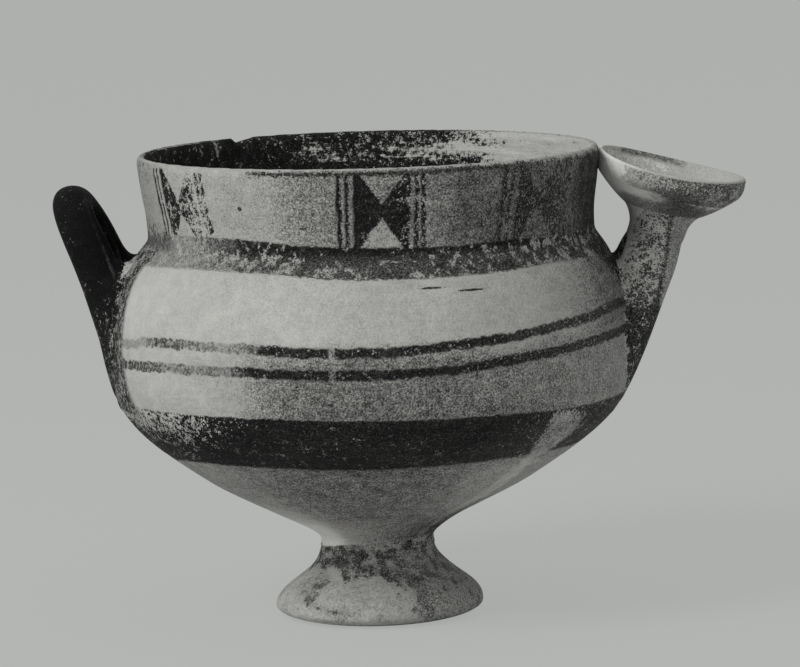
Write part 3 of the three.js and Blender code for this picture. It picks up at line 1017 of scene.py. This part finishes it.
def clay_noises(p):
    """The noises that every clay surface shares, so that one piece runs on into the next."""
    p.blot = p.noise(32, 3)
    p.patch = p.noise(7, 4, 0.6)
    p.grain = p.noise(0.85, 1)
    p.speck = p.noise(2.2, 3, 0.65)
    p.streak = p.noise(3, 3, 0.6, stretch=(9, 9, 1))
    p.edge = p.patch * 0.35 + p.speck * 0.3 + p.grain * 0.15
    p.flecks = p.speck * 0.75 + p.patch * 0.5 + p.grain * 0.4
    p.wobble = p.noise(5, 1)
    p.scratch = scratches(p)
    p.off_back = p.across(-145, -105)


def scratches(p):
    """1 on short straight scratches that come in groups."""
    lines = p.largest(p.cracks(7, 0.24), p.cracks(4, 0.16))
    return lines * p.step(p.speck + p.patch - 1.3, 0.3) * p.step(p.blot + 0.2, 0.5)


def worn(p, bias, soft=0.25):
    """1 where paint has come off. It comes off in more places where bias is higher."""
    return p.step(p.flecks - 1.6 + bias, soft)


# How much paint is worn off each loop, by height
LEFT_LOOP_WEAR = ((115, 1.0), (150, 0.65), (172, 0.2), (190, -0.5), (205, -0.5), (230, 0))
RIGHT_LOOP_WEAR = ((115, 0), (152, 0), (167, 1.15), (185, 1.75), (230, 1.65))


def inset(p, loop):
    """How far in from a loop's outer face the surface lies."""
    reach = p.x * math.cos(loop["turn"]) + p.y * math.sin(loop["turn"])
    share = (p.height - ROOT_HEIGHT) / (loop["top_height"] - ROOT_HEIGHT)
    straight = share * (loop["top_reach"] - root_reach(loop)) + root_reach(loop)
    return straight - share * (1 - share) * (4 * loop["bow"]) - reach


def left_loop_tone(p):
    """Near black, greyer and flecked low down, with a faint light line along the inner edge."""
    inwards = inset(p, LEFT_LOOP)
    bias = p.upwards(LEFT_LOOP_WEAR)
    bias = bias + p.ramp(inwards, 15, 25) * p.up(193, 184) * 1.3
    dark = p.mix(p.up(150, 195), 0.1, 0.04) + p.patch * 0.012
    edge = p.step(0.7 - abs(inwards - 20.5) + p.edge * 0.5, 0.5)
    edge = edge * (p.up(205, 190) * 0.5 + 0.25)
    flecks = (worn(p, bias, 0.8), 0.36 + p.speck * 0.04)
    return p.coat(dark, flecks, (edge * p.up(183, 188), 0.3))


# How wide the right loop's smooth outer face is at each height. It is painted a flat lit grey, in place
# of a flat face in the mesh.
FACET_WIDTH = ((110, -3), (154, -2), (166, 2.4), (190, 6.7), (212, 10.5), (240, 12))


def right_loop_tone(p):
    """Dark with many light flecks, and painted light and shade where the round mesh lacks the leg's flat
    outer face: a highlight along the inner edge, and a smooth grey face behind a dark ridge line.
    """
    inwards = inset(p, RIGHT_LOOP)
    front = p.step(6 - p.y, 3)
    bias = p.upwards(RIGHT_LOOP_WEAR)
    bias = bias + p.ramp(inwards, 18, 28) * 0.5 * front - (1 - front) * 1.2
    dark = p.mix(p.step(p.height - 162, 8), 0.21, 0.31) + p.patch * 0.03
    past_facet = inwards - p.upwards(FACET_WIDTH)
    # Painted shade: a dark line where the flat outer face would meet the leg's side.
    ridge_shade = p.step(1.0 - abs(past_facet - 1.3) + p.edge, 0.9) * p.up(150, 165)
    # Painted highlight: the leg's rounded inner edge, where it catches the light.
    lit_inner_edge = p.step(inwards - 28.4 + p.edge * 1.2, 0.9) * front
    lit_inner_edge = lit_inner_edge * p.up(178, 188) * p.up(226, 218)
    return p.coat(
        dark,
        (worn(p, bias, 0.8), 0.6 + p.speck * 0.04),
        (p.scratch * 0.8, 0.72),
        (ridge_shade * 0.6, 0.18),
        # Painted light: the smooth outer face, a flat lit grey.
        (p.step(p.edge * 0.6 - past_facet, 0.8), 0.52 + p.speck * 0.03),
        (lit_inner_edge, 0.72 + p.speck * 0.02),
    )


def handle_tone(p):
    return p.mix(p.step(p.x, 5), left_loop_tone(p), right_loop_tone(p))


def slip_and_shade_tone(p):
    """The light slip, darker in some places than in others: partly its own mottling, and partly painted
    shade on its right side, away from the key light, and on its neck.
    """
    turn = p.coat(
        p.around(SHOULDER_SLIP_AND_SHADE),
        (p.ramp(p.height + p.edge * 2, 162, 150), p.around(SLIP_LOW)),
        (p.up(104, 88), p.around(SLIP_LOWEST)),
        (p.up(68, 50), p.around(WAIST_SLIP_AND_SHADE)),
        (p.step(p.height - 205, 4), p.around(NECK_SLIP_AND_SHADE)),
    )
    tone = p.upwards(SLIP_AND_SHADE_BY_HEIGHT) * turn
    # Where the tone is darker, from mottling and painted shade alike, it gets more speckle.
    thin = p.ramp(tone, 0.7, 0.42)
    tone = tone + (p.speck * 0.035 + p.patch * 0.02 + p.streak * 0.015) * (thin + 0.15)
    tone = tone + p.patch * 0.008 + p.blot * 0.01
    spots = p.step(p.speck * 0.8 + p.grain * 0.6 - 2.2, 0.3)
    return tone - spots * 0.22


def inside_band(p, low, high):
    """How far the surface is inside a band between two heights, in mm, with a hand-painted edge."""
    return p.smallest(p.height - low, high - p.height) + p.edge


def panel_paint(p, floor):
    """The panels on the neck: a dark field with two light triangles, between upright stripes."""
    turned = [
        (p.azimuth - middle - (p.height - PANEL_MIDDLE) * lean) / spread
        for middle, lean, spread in PANELS
    ]
    off = turned[0]
    for other in turned[1:]:
        off = p.mix(p.step(abs(off) - abs(other), 0.01), off, other)
    off = off + p.noise(9, 2) * 0.14 + p.edge * 0.4
    upper = (p.height - UPPER_APEX) * TRIANGLE_SLOPE - abs(off)
    lower = (LOWER_APEX - p.height) * TRIANGLE_SLOPE - abs(off)
    field = p.smallest(FIELD_HALF_TURN - abs(off), p.largest(upper, lower) * -1)
    stripes = [p.smallest(off - low, high - off) for low, high in STRIPES]
    painted = p.largest(field, *stripes)
    top = (PANEL_TOP - p.height) * 0.5 + p.edge * 0.5
    return p.step(p.smallest(painted, top, p.height - floor + 1), 0.35)


def spot(p, azimuth, height, half_width, half_height):
    """A touch of the brush: over 0 inside an ellipse on the wall."""
    across = (p.azimuth - azimuth) * (math.pi / 180 * NECK_RADIUS / half_width)
    up = (p.height - height) / half_height
    return 1 - (across * across + up * up) + p.speck * 0.3


# How far to each side the paint round the loops' roots reaches, in degrees, by height
LEFT_SURROUND = ((118, 31), (128, 28), (140, 25.5), (156, 23.5), (186, 23), (196, 26))
RIGHT_SURROUND = ((118, 8), (126, 11), (150, 9), (170, 10), (186, 17), (196, 22))


def surround_paint(p):
    """The wall round the loops' roots, which was painted along with them."""
    sides = (p.upwards(reach) for reach in (LEFT_SURROUND, RIGHT_SURROUND))
    gap = p.mix(p.step(p.x, 5), *sides) - abs(abs(p.azimuth) - 92.5) + p.edge * 1.5
    return p.step(p.smallest(gap, (p.height - 117) * 0.6, (204 - p.height) * 0.3), 1.5)


def surround_tone(p):
    """Mottled grey on the wall beside the loops, and as the left loop itself between its legs."""
    limit = 77 + p.up(182, 190) * 8
    beside = p.step(limit - abs(p.azimuth) + p.edge * 2, 3)
    mottled = p.mix(worn(p, 1.3, 0.8), 0.17, 0.54)
    bare = 1 - p.largest(abs(p.azimuth + 80.5) * 0.28, abs(p.height - 191.5) * 0.28)
    bare = p.step(bare + p.edge * 0.7, 0.9)
    left = p.coat(left_loop_tone(p), (beside, mottled), (bare, 0.64 + p.speck * 0.03))
    right = p.mix(worn(p, 0.9, 0.7), 0.16, 0.42 + p.speck * 0.03)
    return p.mix(p.step(p.x, 5), left, right)


def clay_relief(p, dark):
    """Wheel marks, grain and pits, with paint standing a little proud."""
    relief = p.streak * 0.05 + p.grain * 0.02 + p.patch * 0.04 + p.speck * 0.03
    return relief + dark * 0.1


# Above what height the rim is worn, round the bowl
LIP_EDGE = ((-180, 247.2), (-40, 247.2), (20, 247.1), (60, 246.2), (180, 246.2))


def lip_wear(p):
    """1 on the rim's crest, where the paint has worn to bare clay, on all but the back of the bowl."""
    front = p.step(112 - abs(p.azimuth - 35) + p.edge * 12, 14)
    ragged = p.across(15, 60) * 1.2 + 0.5
    return p.step((p.height - p.curve(p.azimuth, LIP_EDGE)) / ragged + p.edge, 0.8) * front


# How much of the paint is worn off: on the upper band, on the panels and on the broad band
UPPER_BAND_WEAR = (
    (-180, 0.3), (-45, 1.25), (-28, 1.25), (-5, 0.5), (30, 0.95), (60, 1.05),
)
PANEL_WEAR = (
    (-180, 0.3), (-60, 0.6), (-50, 1.2), (-40, 2.0), (-30, -0.6), (5, -0.6), (13, 0.9), (48, 1.0),
)
BROAD_BAND_WEAR = (
    (-180, 0.2), (-80, 0.4), (-58, 0.5), (-30, -0.3), (20, -0.4), (50, 0.3),
)

# How well the thin lines cover the wall, and how dark the paint is
LINE_COVER = (
    (-180, 2.0), (-110, 1.0), (-60, 0.3), (-40, -0.3), (-30, -0.7), (-22, 1.2), (-14, 2.0),
    (180, 2.0),
)
PAINT_TONE = ((-180, 0.12), (-10, 0.11), (30, 0.14), (60, 0.215))


def line_paint(p):
    """The two thin lines, which fade to grey on the left, the upper one most."""
    lines = []
    for heights, turn, washed in ((UPPER_LINE, 0, 2.5), (LOWER_LINE, 3, 0.0)):
        middle = p.around(heights)
        line = inside_band(p, middle - LINE_HALF_WIDTH, middle + LINE_HALF_WIDTH)
        line = p.step(line + p.wobble * 0.25, 0.6)
        faded = p.off_back * p.across(-52, -60) * washed
        cover = p.flecks + p.curve(p.azimuth + turn, LINE_COVER) - faded
        kept = p.step(cover, 1.3) * (1 - worn(p, 0.1, 0.6))
        gap = p.step(abs(p.azimuth + 6.3 + p.patch * 0.1) - 0.7, 0.3)
        lines.append(line * p.largest(kept * gap * 0.95, 0.22 + p.speck * 0.04))
    return p.largest(*lines)


def worn_patch(p):
    """1 where the broad band is worn to bare clay on its right."""
    right = 58 - p.azimuth - p.up(104, 94) * 5
    top = (117.5 - p.height - (p.azimuth - 48) * 0.4) * 0.5
    return p.step(p.smallest(p.azimuth - 45, right, top) + p.edge * 1.6, 1)


def broad_band_paint(p):
    """The broad dark band, flecked along its top on the left and with a bare patch on its right."""
    band = p.step(inside_band(p, p.around(BROAD_BAND_FOOT), p.around(BROAD_BAND_TOP)), 0.5)
    upper_left = p.up(102, 116) * p.across(-24, -42) * p.off_back * 1.5
    return band * (1 - worn(p, p.around(BROAD_BAND_WEAR) + upper_left, 0.4))


def upper_band_tone(p):
    """The upper band: darkest along its top, stained grey where it is worn, and pale at its left end."""
    lower_half = p.ramp(p.height + p.patch, 205, 200)
    tone = p.mix(lower_half, 0.12, 0.26) + p.patch * 0.03
    bare = p.patch * 0.7 + p.wobble * 0.35 + p.speck * 0.5 - 1.6
    wear = p.step(bare + p.around(UPPER_BAND_WEAR) + lower_half * 0.3, 0.5)
    end = p.ramp(p.azimuth + p.patch * 5, -30, -48)
    left = p.largest(end, p.across(-22, -58) * lower_half * 0.8) * p.off_back
    pale = 0.51 + p.speck * 0.045 + p.patch * 0.03
    return p.coat(tone, (wear, 0.5 + p.speck * 0.04), (left, pale))


def neck_smudges(p):
    """How dark the specks along the neck's left side are. Most of them lie at its foot."""
    low = p.up(218, 210)
    specks = worn(p, 1.0 + low * 0.7, 0.7)
    side = p.ramp(p.azimuth + p.edge * 3 - low * 7, -63, -67) * p.off_back
    return specks * side * p.step(p.height - 202, 2) * (low * 0.6 + 0.3)


def small_marks(p):
    """1 on two short strokes of the brush on the shoulder and on two dots on the neck."""
    marks = p.largest(
        spot(p, 16.1, 187.2, 5.8, 0.55),
        spot(p, 25.4, 185.1, 5.8, 0.55),
        spot(p, -13.9, 217.7, 1.8, 0.7),
        spot(p, -30.7, 227.5, 1.2, 1.1),
    )
    return p.step(marks, 0.4)


def lip_line(p):
    """A thin line under the lip in front."""
    line = p.smallest(0.9 - abs(p.height - 245.3), (33 - abs(p.azimuth - 6)) * 0.5)
    return p.step(line + p.speck * 0.7, 0.6) * 0.8


def outside_paint():
    p = Painter("bowl_outside")
    clay_noises(p)
    bare_patch = worn_patch(p)
    lower_triangle = p.step(spot(p, 5.6, 212, 8, 8), 0.6)
    # The slip's tone includes painted shade on the right side and on the neck.
    slip = slip_and_shade_tone(p) + bare_patch * 0.09 + lower_triangle * 0.1
    upper_top, upper_foot = p.around(UPPER_BAND_TOP), p.around(UPPER_BAND_FOOT)
    upper = p.step(inside_band(p, upper_foot, upper_top), 0.5)
    lower_left = p.up(217, 209) * p.across(-48, -53) * p.off_back
    panels = panel_paint(p, upper_top) * (1 - worn(p, p.around(PANEL_WEAR) + lower_left, 0.9))
    broad = broad_band_paint(p) * (1 - bare_patch * 0.95)
    kept = p.largest(panels, line_paint(p), broad, lip_line(p), small_marks(p) * 0.8)
    painted = p.largest(kept, upper)
    dark = p.around(PAINT_TONE) + p.blot * 0.012 + p.speck * 0.02 + p.streak * 0.015
    left_lip = p.step(p.height - 236, 5) * p.step(-66.0 - p.azimuth, 8) * p.step(p.flecks - 0.3, 0.6)
    back_lip = p.step(abs(p.azimuth - 14) - 141 + p.edge * 8, 6) * p.step(p.height - 245.5, 0.6)
    crown = p.step(p.around(JOINT_LINE) - p.height + p.edge * 0.8, 0.5)
    tone = p.coat(
        slip,
        (kept, dark),
        (upper, upper_band_tone(p)),
        (p.scratch * p.largest(kept * 0.4, upper * 0.85), 0.62),
        (neck_smudges(p), 0.2),
        (surround_paint(p), surround_tone(p)),
        (left_lip * p.off_back * 0.45, 0.2),
        (back_lip * 0.9, 0.14),
        (lip_wear(p), 0.64),
        (crown, crown_tone(p)),
    )
    return p.finish(tone, 0.92 - painted * 0.1, clay_relief(p, painted))


# The inside: how worn its dark paint is, by how far round from the front it lies
INSIDE_WEAR = (
    (0, 0.2), (60, 0.5), (140, 1.8), (165, 1.0), (185, 0.75), (198, 0.2), (222, 0), (360, 0.2),
)


def inside_paint():
    """The dark paint inside, with a streaky bare band behind under the lip, and a bare right side."""
    p = Painter("bowl_inside")
    clay_noises(p)
    turn = p.math("MODULO", p.azimuth + 360, 360)
    right = p.smallest(p.ramp(turn, 160, 140), p.ramp(turn, 40, 60)) * 4.4 - 2.2
    band = (1 - abs(p.height - 237.5) / 4.5) * 1.2 + p.ramp(turn, 225, 155) * 2.6 - 2.6
    band = p.smallest(band, (turn - 60) * 0.2, (260 - turn) * 0.1)
    bare = p.step(p.largest(right, band) + p.streak * 0.6 + p.speck * 0.6, 0.8)
    below_band = p.up(234, 230) * 0.7
    wear = worn(p, p.curve(turn, INSIDE_WEAR) - below_band, 0.5)
    light = 0.73 + p.streak * 0.02 + p.patch * 0.015
    tone = p.coat(
        0.13 + p.patch * 0.025,
        (wear, 0.46 + p.speck * 0.05),
        (p.scratch, 0.6),
        (bare, light),
        (lip_wear(p), 0.68),
    )
    return p.finish(tone, 0.9, clay_relief(p, 0.0))


# Foot: how low its dark crown reaches and how high it starts, where its pale part ends on the right and
# its painted shade begins, and where a dark streak runs down it on the left
CROWN_FOOT = (
    (-180, 20), (-90, 24), (-45, 29), (-28, 26), (-18, 22), (-6, 27), (8, 24), (30, 21),
)
JOINT_LINE = (
    (-180, 39), (-70, 38.5), (-30, 40.6), (0, 41.4), (30, 41.8), (70, 44), (110, 42),
)
PALE_RIGHT_EDGE = ((0, 30), (6.5, 26), (14, 23), (20, 22), (26, 17), (38, 8))
DARK_STREAK = (
    (0, -20), (8.5, -22), (10.6, -33), (12.5, -42), (16, -48), (22, -46), (30, -62), (38, -76),
)


def crown_tone(p):
    """Dark and blotchy, in blots that are larger than the flecks elsewhere."""
    blots = p.step(p.patch + p.wobble * 0.5 + p.speck * 0.3 - 0.15, 1.2)
    return p.mix(blots, 0.55, 0.26) + p.speck * 0.03


def foot_paint():
    """Bare pale clay under a ragged dark crown, with a streak down the left, and painted shade on the
    right side and back, away from the key light.
    """
    p = Painter("foot_paint")
    clay_noises(p)
    crown = p.height - p.around(CROWN_FOOT) + p.edge * 5
    right = p.azimuth - p.upwards(PALE_RIGHT_EDGE) + p.edge * 9
    streak = 6 - abs(p.azimuth - p.upwards(DARK_STREAK)) + p.edge * 12
    streak = p.smallest(streak, (p.height - 8) * 2)
    # A darker band just past the edge of the pale part.
    band_past_pale_edge = 5 - abs(right - 6) + p.patch * 5
    back = p.largest(abs(p.azimuth) - 115 + p.edge * 14, right)
    mottled = p.largest(p.step(crown, 1.5), p.step(streak, 3) * 0.8)
    # Painted shade: the right side and back, away from the key light, are darker, with dark spots of
    # their own.
    shaded_side = p.step(back, 4)
    light = 0.64 + p.patch * 0.03 + p.blot * 0.02 + p.speck * 0.03
    dark_spots = p.step(p.patch + p.speck * 0.4 - 1.1, 0.4) * 0.15
    tone = p.coat(
        light,
        (shaded_side, 0.54 + p.speck * 0.03 - dark_spots),
        (mottled * (1 - shaded_side * 0.5), crown_tone(p)),
        (p.step(band_past_pale_edge, 4) * 0.5, 0.3),
    )
    return p.finish(tone, 0.9, clay_relief(p, mottled))


def loop_paint():
    p = Painter("loop_paint")
    clay_noises(p)
    return p.finish(handle_tone(p), 0.85 + p.speck * 0.03, clay_relief(p, 0.0))


CUP_X, CUP_Y = CUP_REACH * math.cos(SETBACK), CUP_REACH * math.sin(SETBACK)


def cup_depth(p):
    """How far the surface lies below the plane of the cup's rim."""
    down = np.array(cup_matrix().to_3x3() @ Vector((0, 0, -1)))
    shift = (p.x - CUP_X, p.y - CUP_Y, p.height - CUP_RIM_HEIGHT)
    return shift[0] * float(down[0]) + shift[1] * float(down[1]) + shift[2] * float(down[2])


def below_lip(p):
    """How far the surface lies below the bent lip of the cup."""
    azimuths = range(-180, 181, 20)
    bend = tuple((a, float(rim_bend(math.radians(a)))) for a in azimuths)
    return cup_depth(p) - p.curve(p.azimuth_about(CUP_X, CUP_Y), bend)


def cup_paint():
    """The cup's outside: bare by the bowl and low on the left, dark and mottled round the rest. The bare
    clay has painted light on its left side and underside.
    """
    p = Painter("cup_paint")
    clay_noises(p)
    depth = cup_depth(p)
    across = p.x - CUP_X
    # Painted light: the bare clay is lighter towards the left and on the underside, where the bowl's
    # neck keeps the lamps' light off.
    light = p.ramp(across, -14, -34) * 0.18 + p.ramp(depth, 7, 13) * 0.07 + p.patch * 0.015 + 0.7
    left = p.ramp(across, 0, -22)
    dark = p.mix(left, 0.38, 0.5) + p.patch * 0.03
    mottled = p.mix(worn(p, left * 1.3 + 0.95, 0.7), dark, 0.62)
    start = across + 24 + p.edge * 4
    foot = p.mix(p.ramp(across, -14, 4), 12, 15.5)
    band = p.smallest((below_lip(p) - 0.9) * 3, (foot - depth) * 2)
    body = p.step(p.smallest(start, band + p.edge) + p.edge * 0.5, 1.5)
    under = p.step(p.smallest(depth - foot, (across - 1) * 0.5) + p.edge * 2, 1.5)
    carination = p.smallest(0.9 - abs(depth - 11.6), across + 22, -4.0 - across)
    carination = p.step(carination + p.edge * 0.5, 0.5)
    root = p.step(depth - 17.5 + p.edge * 1.2, 1) * p.step(across + 28, 5)
    clump = 1 - p.largest(abs(across - 3) * 0.1, abs(depth - 18) * 0.14) + p.edge * 0.5
    tone = p.coat(
        light,
        (p.largest(body, carination), mottled),
        (under, 0.5 + p.speck * 0.04),
        (root * 0.7, 0.4 + p.speck * 0.04),
        (p.step(clump, 0.7) * 0.8, 0.25 + p.speck * 0.04),
    )
    return p.finish(tone, 0.9, clay_relief(p, body))


def cup_inside_paint():
    """Bare clay inside the cup, mottled on the side by the bowl, with a dark line along its back rim."""
    p = Painter("cup_inside")
    clay_noises(p)
    across = p.x - CUP_X
    back = p.smallest((p.y - CUP_Y - 27) * 0.6, -2.0 - across)
    stain = p.step(p.largest(-19.0 - across, back) + p.edge * 5, 7)
    stain = stain * p.step(below_lip(p) - 1.2 + p.edge * 0.5, 0.6)
    mottled = p.mix(worn(p, 1.5, 0.9), 0.68, 0.8 + p.speck * 0.03)
    back_line = p.smallest(p.y - CUP_Y - 20, (5 - across) * 0.3, across + 26, 2.6 - below_lip(p))
    back_line = back_line + p.edge * 1.5
    line = (p.step(back_line, 1.2) * 0.75, 0.38 + p.speck * 0.04)
    tone = p.coat(0.67 + p.blot * 0.01, (stain, mottled), line)
    return p.finish(tone, 0.9, clay_relief(p, 0.0))


def paint_inside(piece, material, is_inside):
    """Gives a second material to the faces whose middles are inside."""
    mesh = piece.data
    mesh.materials.append(material)
    centres = np.zeros(len(mesh.polygons) * 3, np.float32)
    mesh.polygons.foreach_get("center", centres)
    points = centres.reshape(-1, 3).astype(float) / MM - (AXIS_X, 0, 0)
    mesh.polygons.foreach_set("material_index", is_inside(points).astype(np.int32))


def inside_bowl(points):
    wall = outer_wall()
    middle = np.interp(points[:, 2], wall[:, 1], wall[:, 0]) - WALL / 2
    return (radii(undrifted(points)) < middle) & (points[:, 2] > FLOOR_HEIGHT - 1)


def inside_cup(points):
    own = placed_by(cup_matrix().inverted(), points)
    radius = radii(own)
    line = cup_inside_line()[::-1]
    floor = np.interp(radius, line[:, 0], line[:, 1]) - 2
    return (own[:, 2] - cup_warp(own) > floor) & (radius < CUP_RADIUS - CUP_LIP / 2)


left_rings = turned_rings(loop_rings(LEFT_LOOP), LEFT_LOOP["turn"])
right_rings = turned_rings(loop_rings(RIGHT_LOOP), RIGHT_LOOP["turn"])
outside = outside_paint()
bowl = build_bowl(
    [(left_rings, LEFT_LOOP["fillets"]), (right_rings, RIGHT_LOOP["fillets"])], outside
)
paint_inside(bowl, inside_paint(), inside_bowl)
build_turned("painted_foot", "foot", foot_profile(), foot_paint())
build_turned("luting_ring", "foot_luting_ring", ring_profile(), outside, closed=True)
dark = loop_paint()
build_loop(LEFT_LOOP, left_rings, dark, "dark_paint", distance_to_wall)
build_loop(RIGHT_LOOP, right_rings, dark, "flecked_paint", distance_to_wall_or_stem)
build_stem(right_rings, dark)
cup = build_cup(cup_paint())
paint_inside(cup, cup_inside_paint(), inside_cup)


# Studio

CAMERA_PLACE = (80.2, -2448.7, 451.7)
CAMERA_RIGHT = (0.99936, 0.02276, -0.02759)
CAMERA_UP = (0.02458, 0.12317, 0.99208)
CAMERA_LENS, CAMERA_SENSOR, CAMERA_SIGHT = 209.55, 36, 60
FLOOR_HALF_WIDTH = 20
LAMP_AIM = (0, 0, 0.14)
KEY_PLACE, KEY_SIZE, KEY_WATTS = (-1.6, -1.6, 1.9), 1.2, 44
SOFT_LIGHT = 0.45
BACKGROUND = (0.43, 0.445, 0.43, 1)
FLOOR_TONE = 0.8
FLATNESS = 0.87


def place_camera():
    right, up = Vector(CAMERA_RIGHT).normalized(), Vector(CAMERA_UP)
    back = right.cross(up).normalized()
    up = back.cross(right)
    matrix = Matrix((right, up, back)).transposed().to_4x4()
    matrix.translation = (Vector(CAMERA_PLACE) + Vector((AXIS_X, 0, 0))) * MM
    data = bpy.data.cameras.new("camera")
    data.lens, data.sensor_width, data.clip_end = CAMERA_LENS, CAMERA_SENSOR, CAMERA_SIGHT
    camera = add_object("camera", data)
    camera.matrix_world = matrix
    bpy.context.scene.camera = camera


def background_share(tree):
    """1 for what the camera sees itself or in a gloss, where the background shows its own tone."""
    rays = add_node(tree, "LightPath").outputs
    kinds = [rays[f"Is {kind} Ray"] for kind in ("Camera", "Glossy", "Transmission")]
    either = add_node(tree, "Math", {0: kinds[1], 1: kinds[2]}, operation="MAXIMUM").outputs[0]
    return add_node(tree, "Math", {0: kinds[0], 1: either}, operation="MAXIMUM").outputs[0]


def show_over(tree, share, lit, shown, output):
    """Ends a tree of nodes in a surface that is lit, with a share of one that is only shown over it."""
    mix = add_node(tree, "MixShader", {0: share, 1: lit.outputs[0], 2: shown.outputs[0]})
    feed(tree, tree.nodes[output], {"Surface": mix.outputs[0]})


def floor_material():
    """Pale board. The camera sees mostly its own flat tone, and a little of the object's shadow."""
    material = bpy.data.materials.new("floor")
    material.use_nodes = True
    tree = material.node_tree
    board = tree.nodes["Principled BSDF"]
    grey = (FLOOR_TONE, FLOOR_TONE, FLOOR_TONE, 1)
    feed(tree, board, {"Base Color": grey, "Roughness": 1, "Specular IOR Level": 0})
    share = add_node(tree, "Math", {0: background_share(tree), 1: FLATNESS}, operation="MULTIPLY")
    flat = add_node(tree, "Emission", {"Color": BACKGROUND})
    show_over(tree, share.outputs[0], board, flat, "Material Output")
    return material


def make_floor():
    mesh = bpy.data.meshes.new("floor")
    corners = [(x, y, 0) for x, y in ((-1, -1), (1, -1), (1, 1), (-1, 1))]
    mesh.from_pydata([Vector(corner) * FLOOR_HALF_WIDTH for corner in corners], [], [(0, 1, 2, 3)])
    mesh.materials.append(floor_material())
    add_object("floor", mesh)


def add_lamp(name, place, size, watts):
    data = bpy.data.lights.new(name, "AREA")
    data.shape, data.size, data.energy = "DISK", size, watts
    lamp = add_object(name, data)
    lamp.location = place
    lamp.rotation_mode = "QUATERNION"
    lamp.rotation_quaternion = (Vector(LAMP_AIM) - Vector(place)).to_track_quat("-Z", "Y")


def light_world(strength):
    world = bpy.data.worlds.new("studio")
    bpy.context.scene.world = world
    world.use_nodes = True
    tree = world.node_tree
    soft = tree.nodes["Background"]
    feed(tree, soft, {"Color": (1, 1, 1, 1), "Strength": strength})
    shown = add_node(tree, "Background", {"Color": BACKGROUND})
    show_over(tree, background_share(tree), soft, shown, "World Output")


place_camera()
make_floor()
add_lamp("key", KEY_PLACE, KEY_SIZE, KEY_WATTS)
light_world(SOFT_LIGHT)

bpy.context.scene.view_settings.view_transform = "Standard"
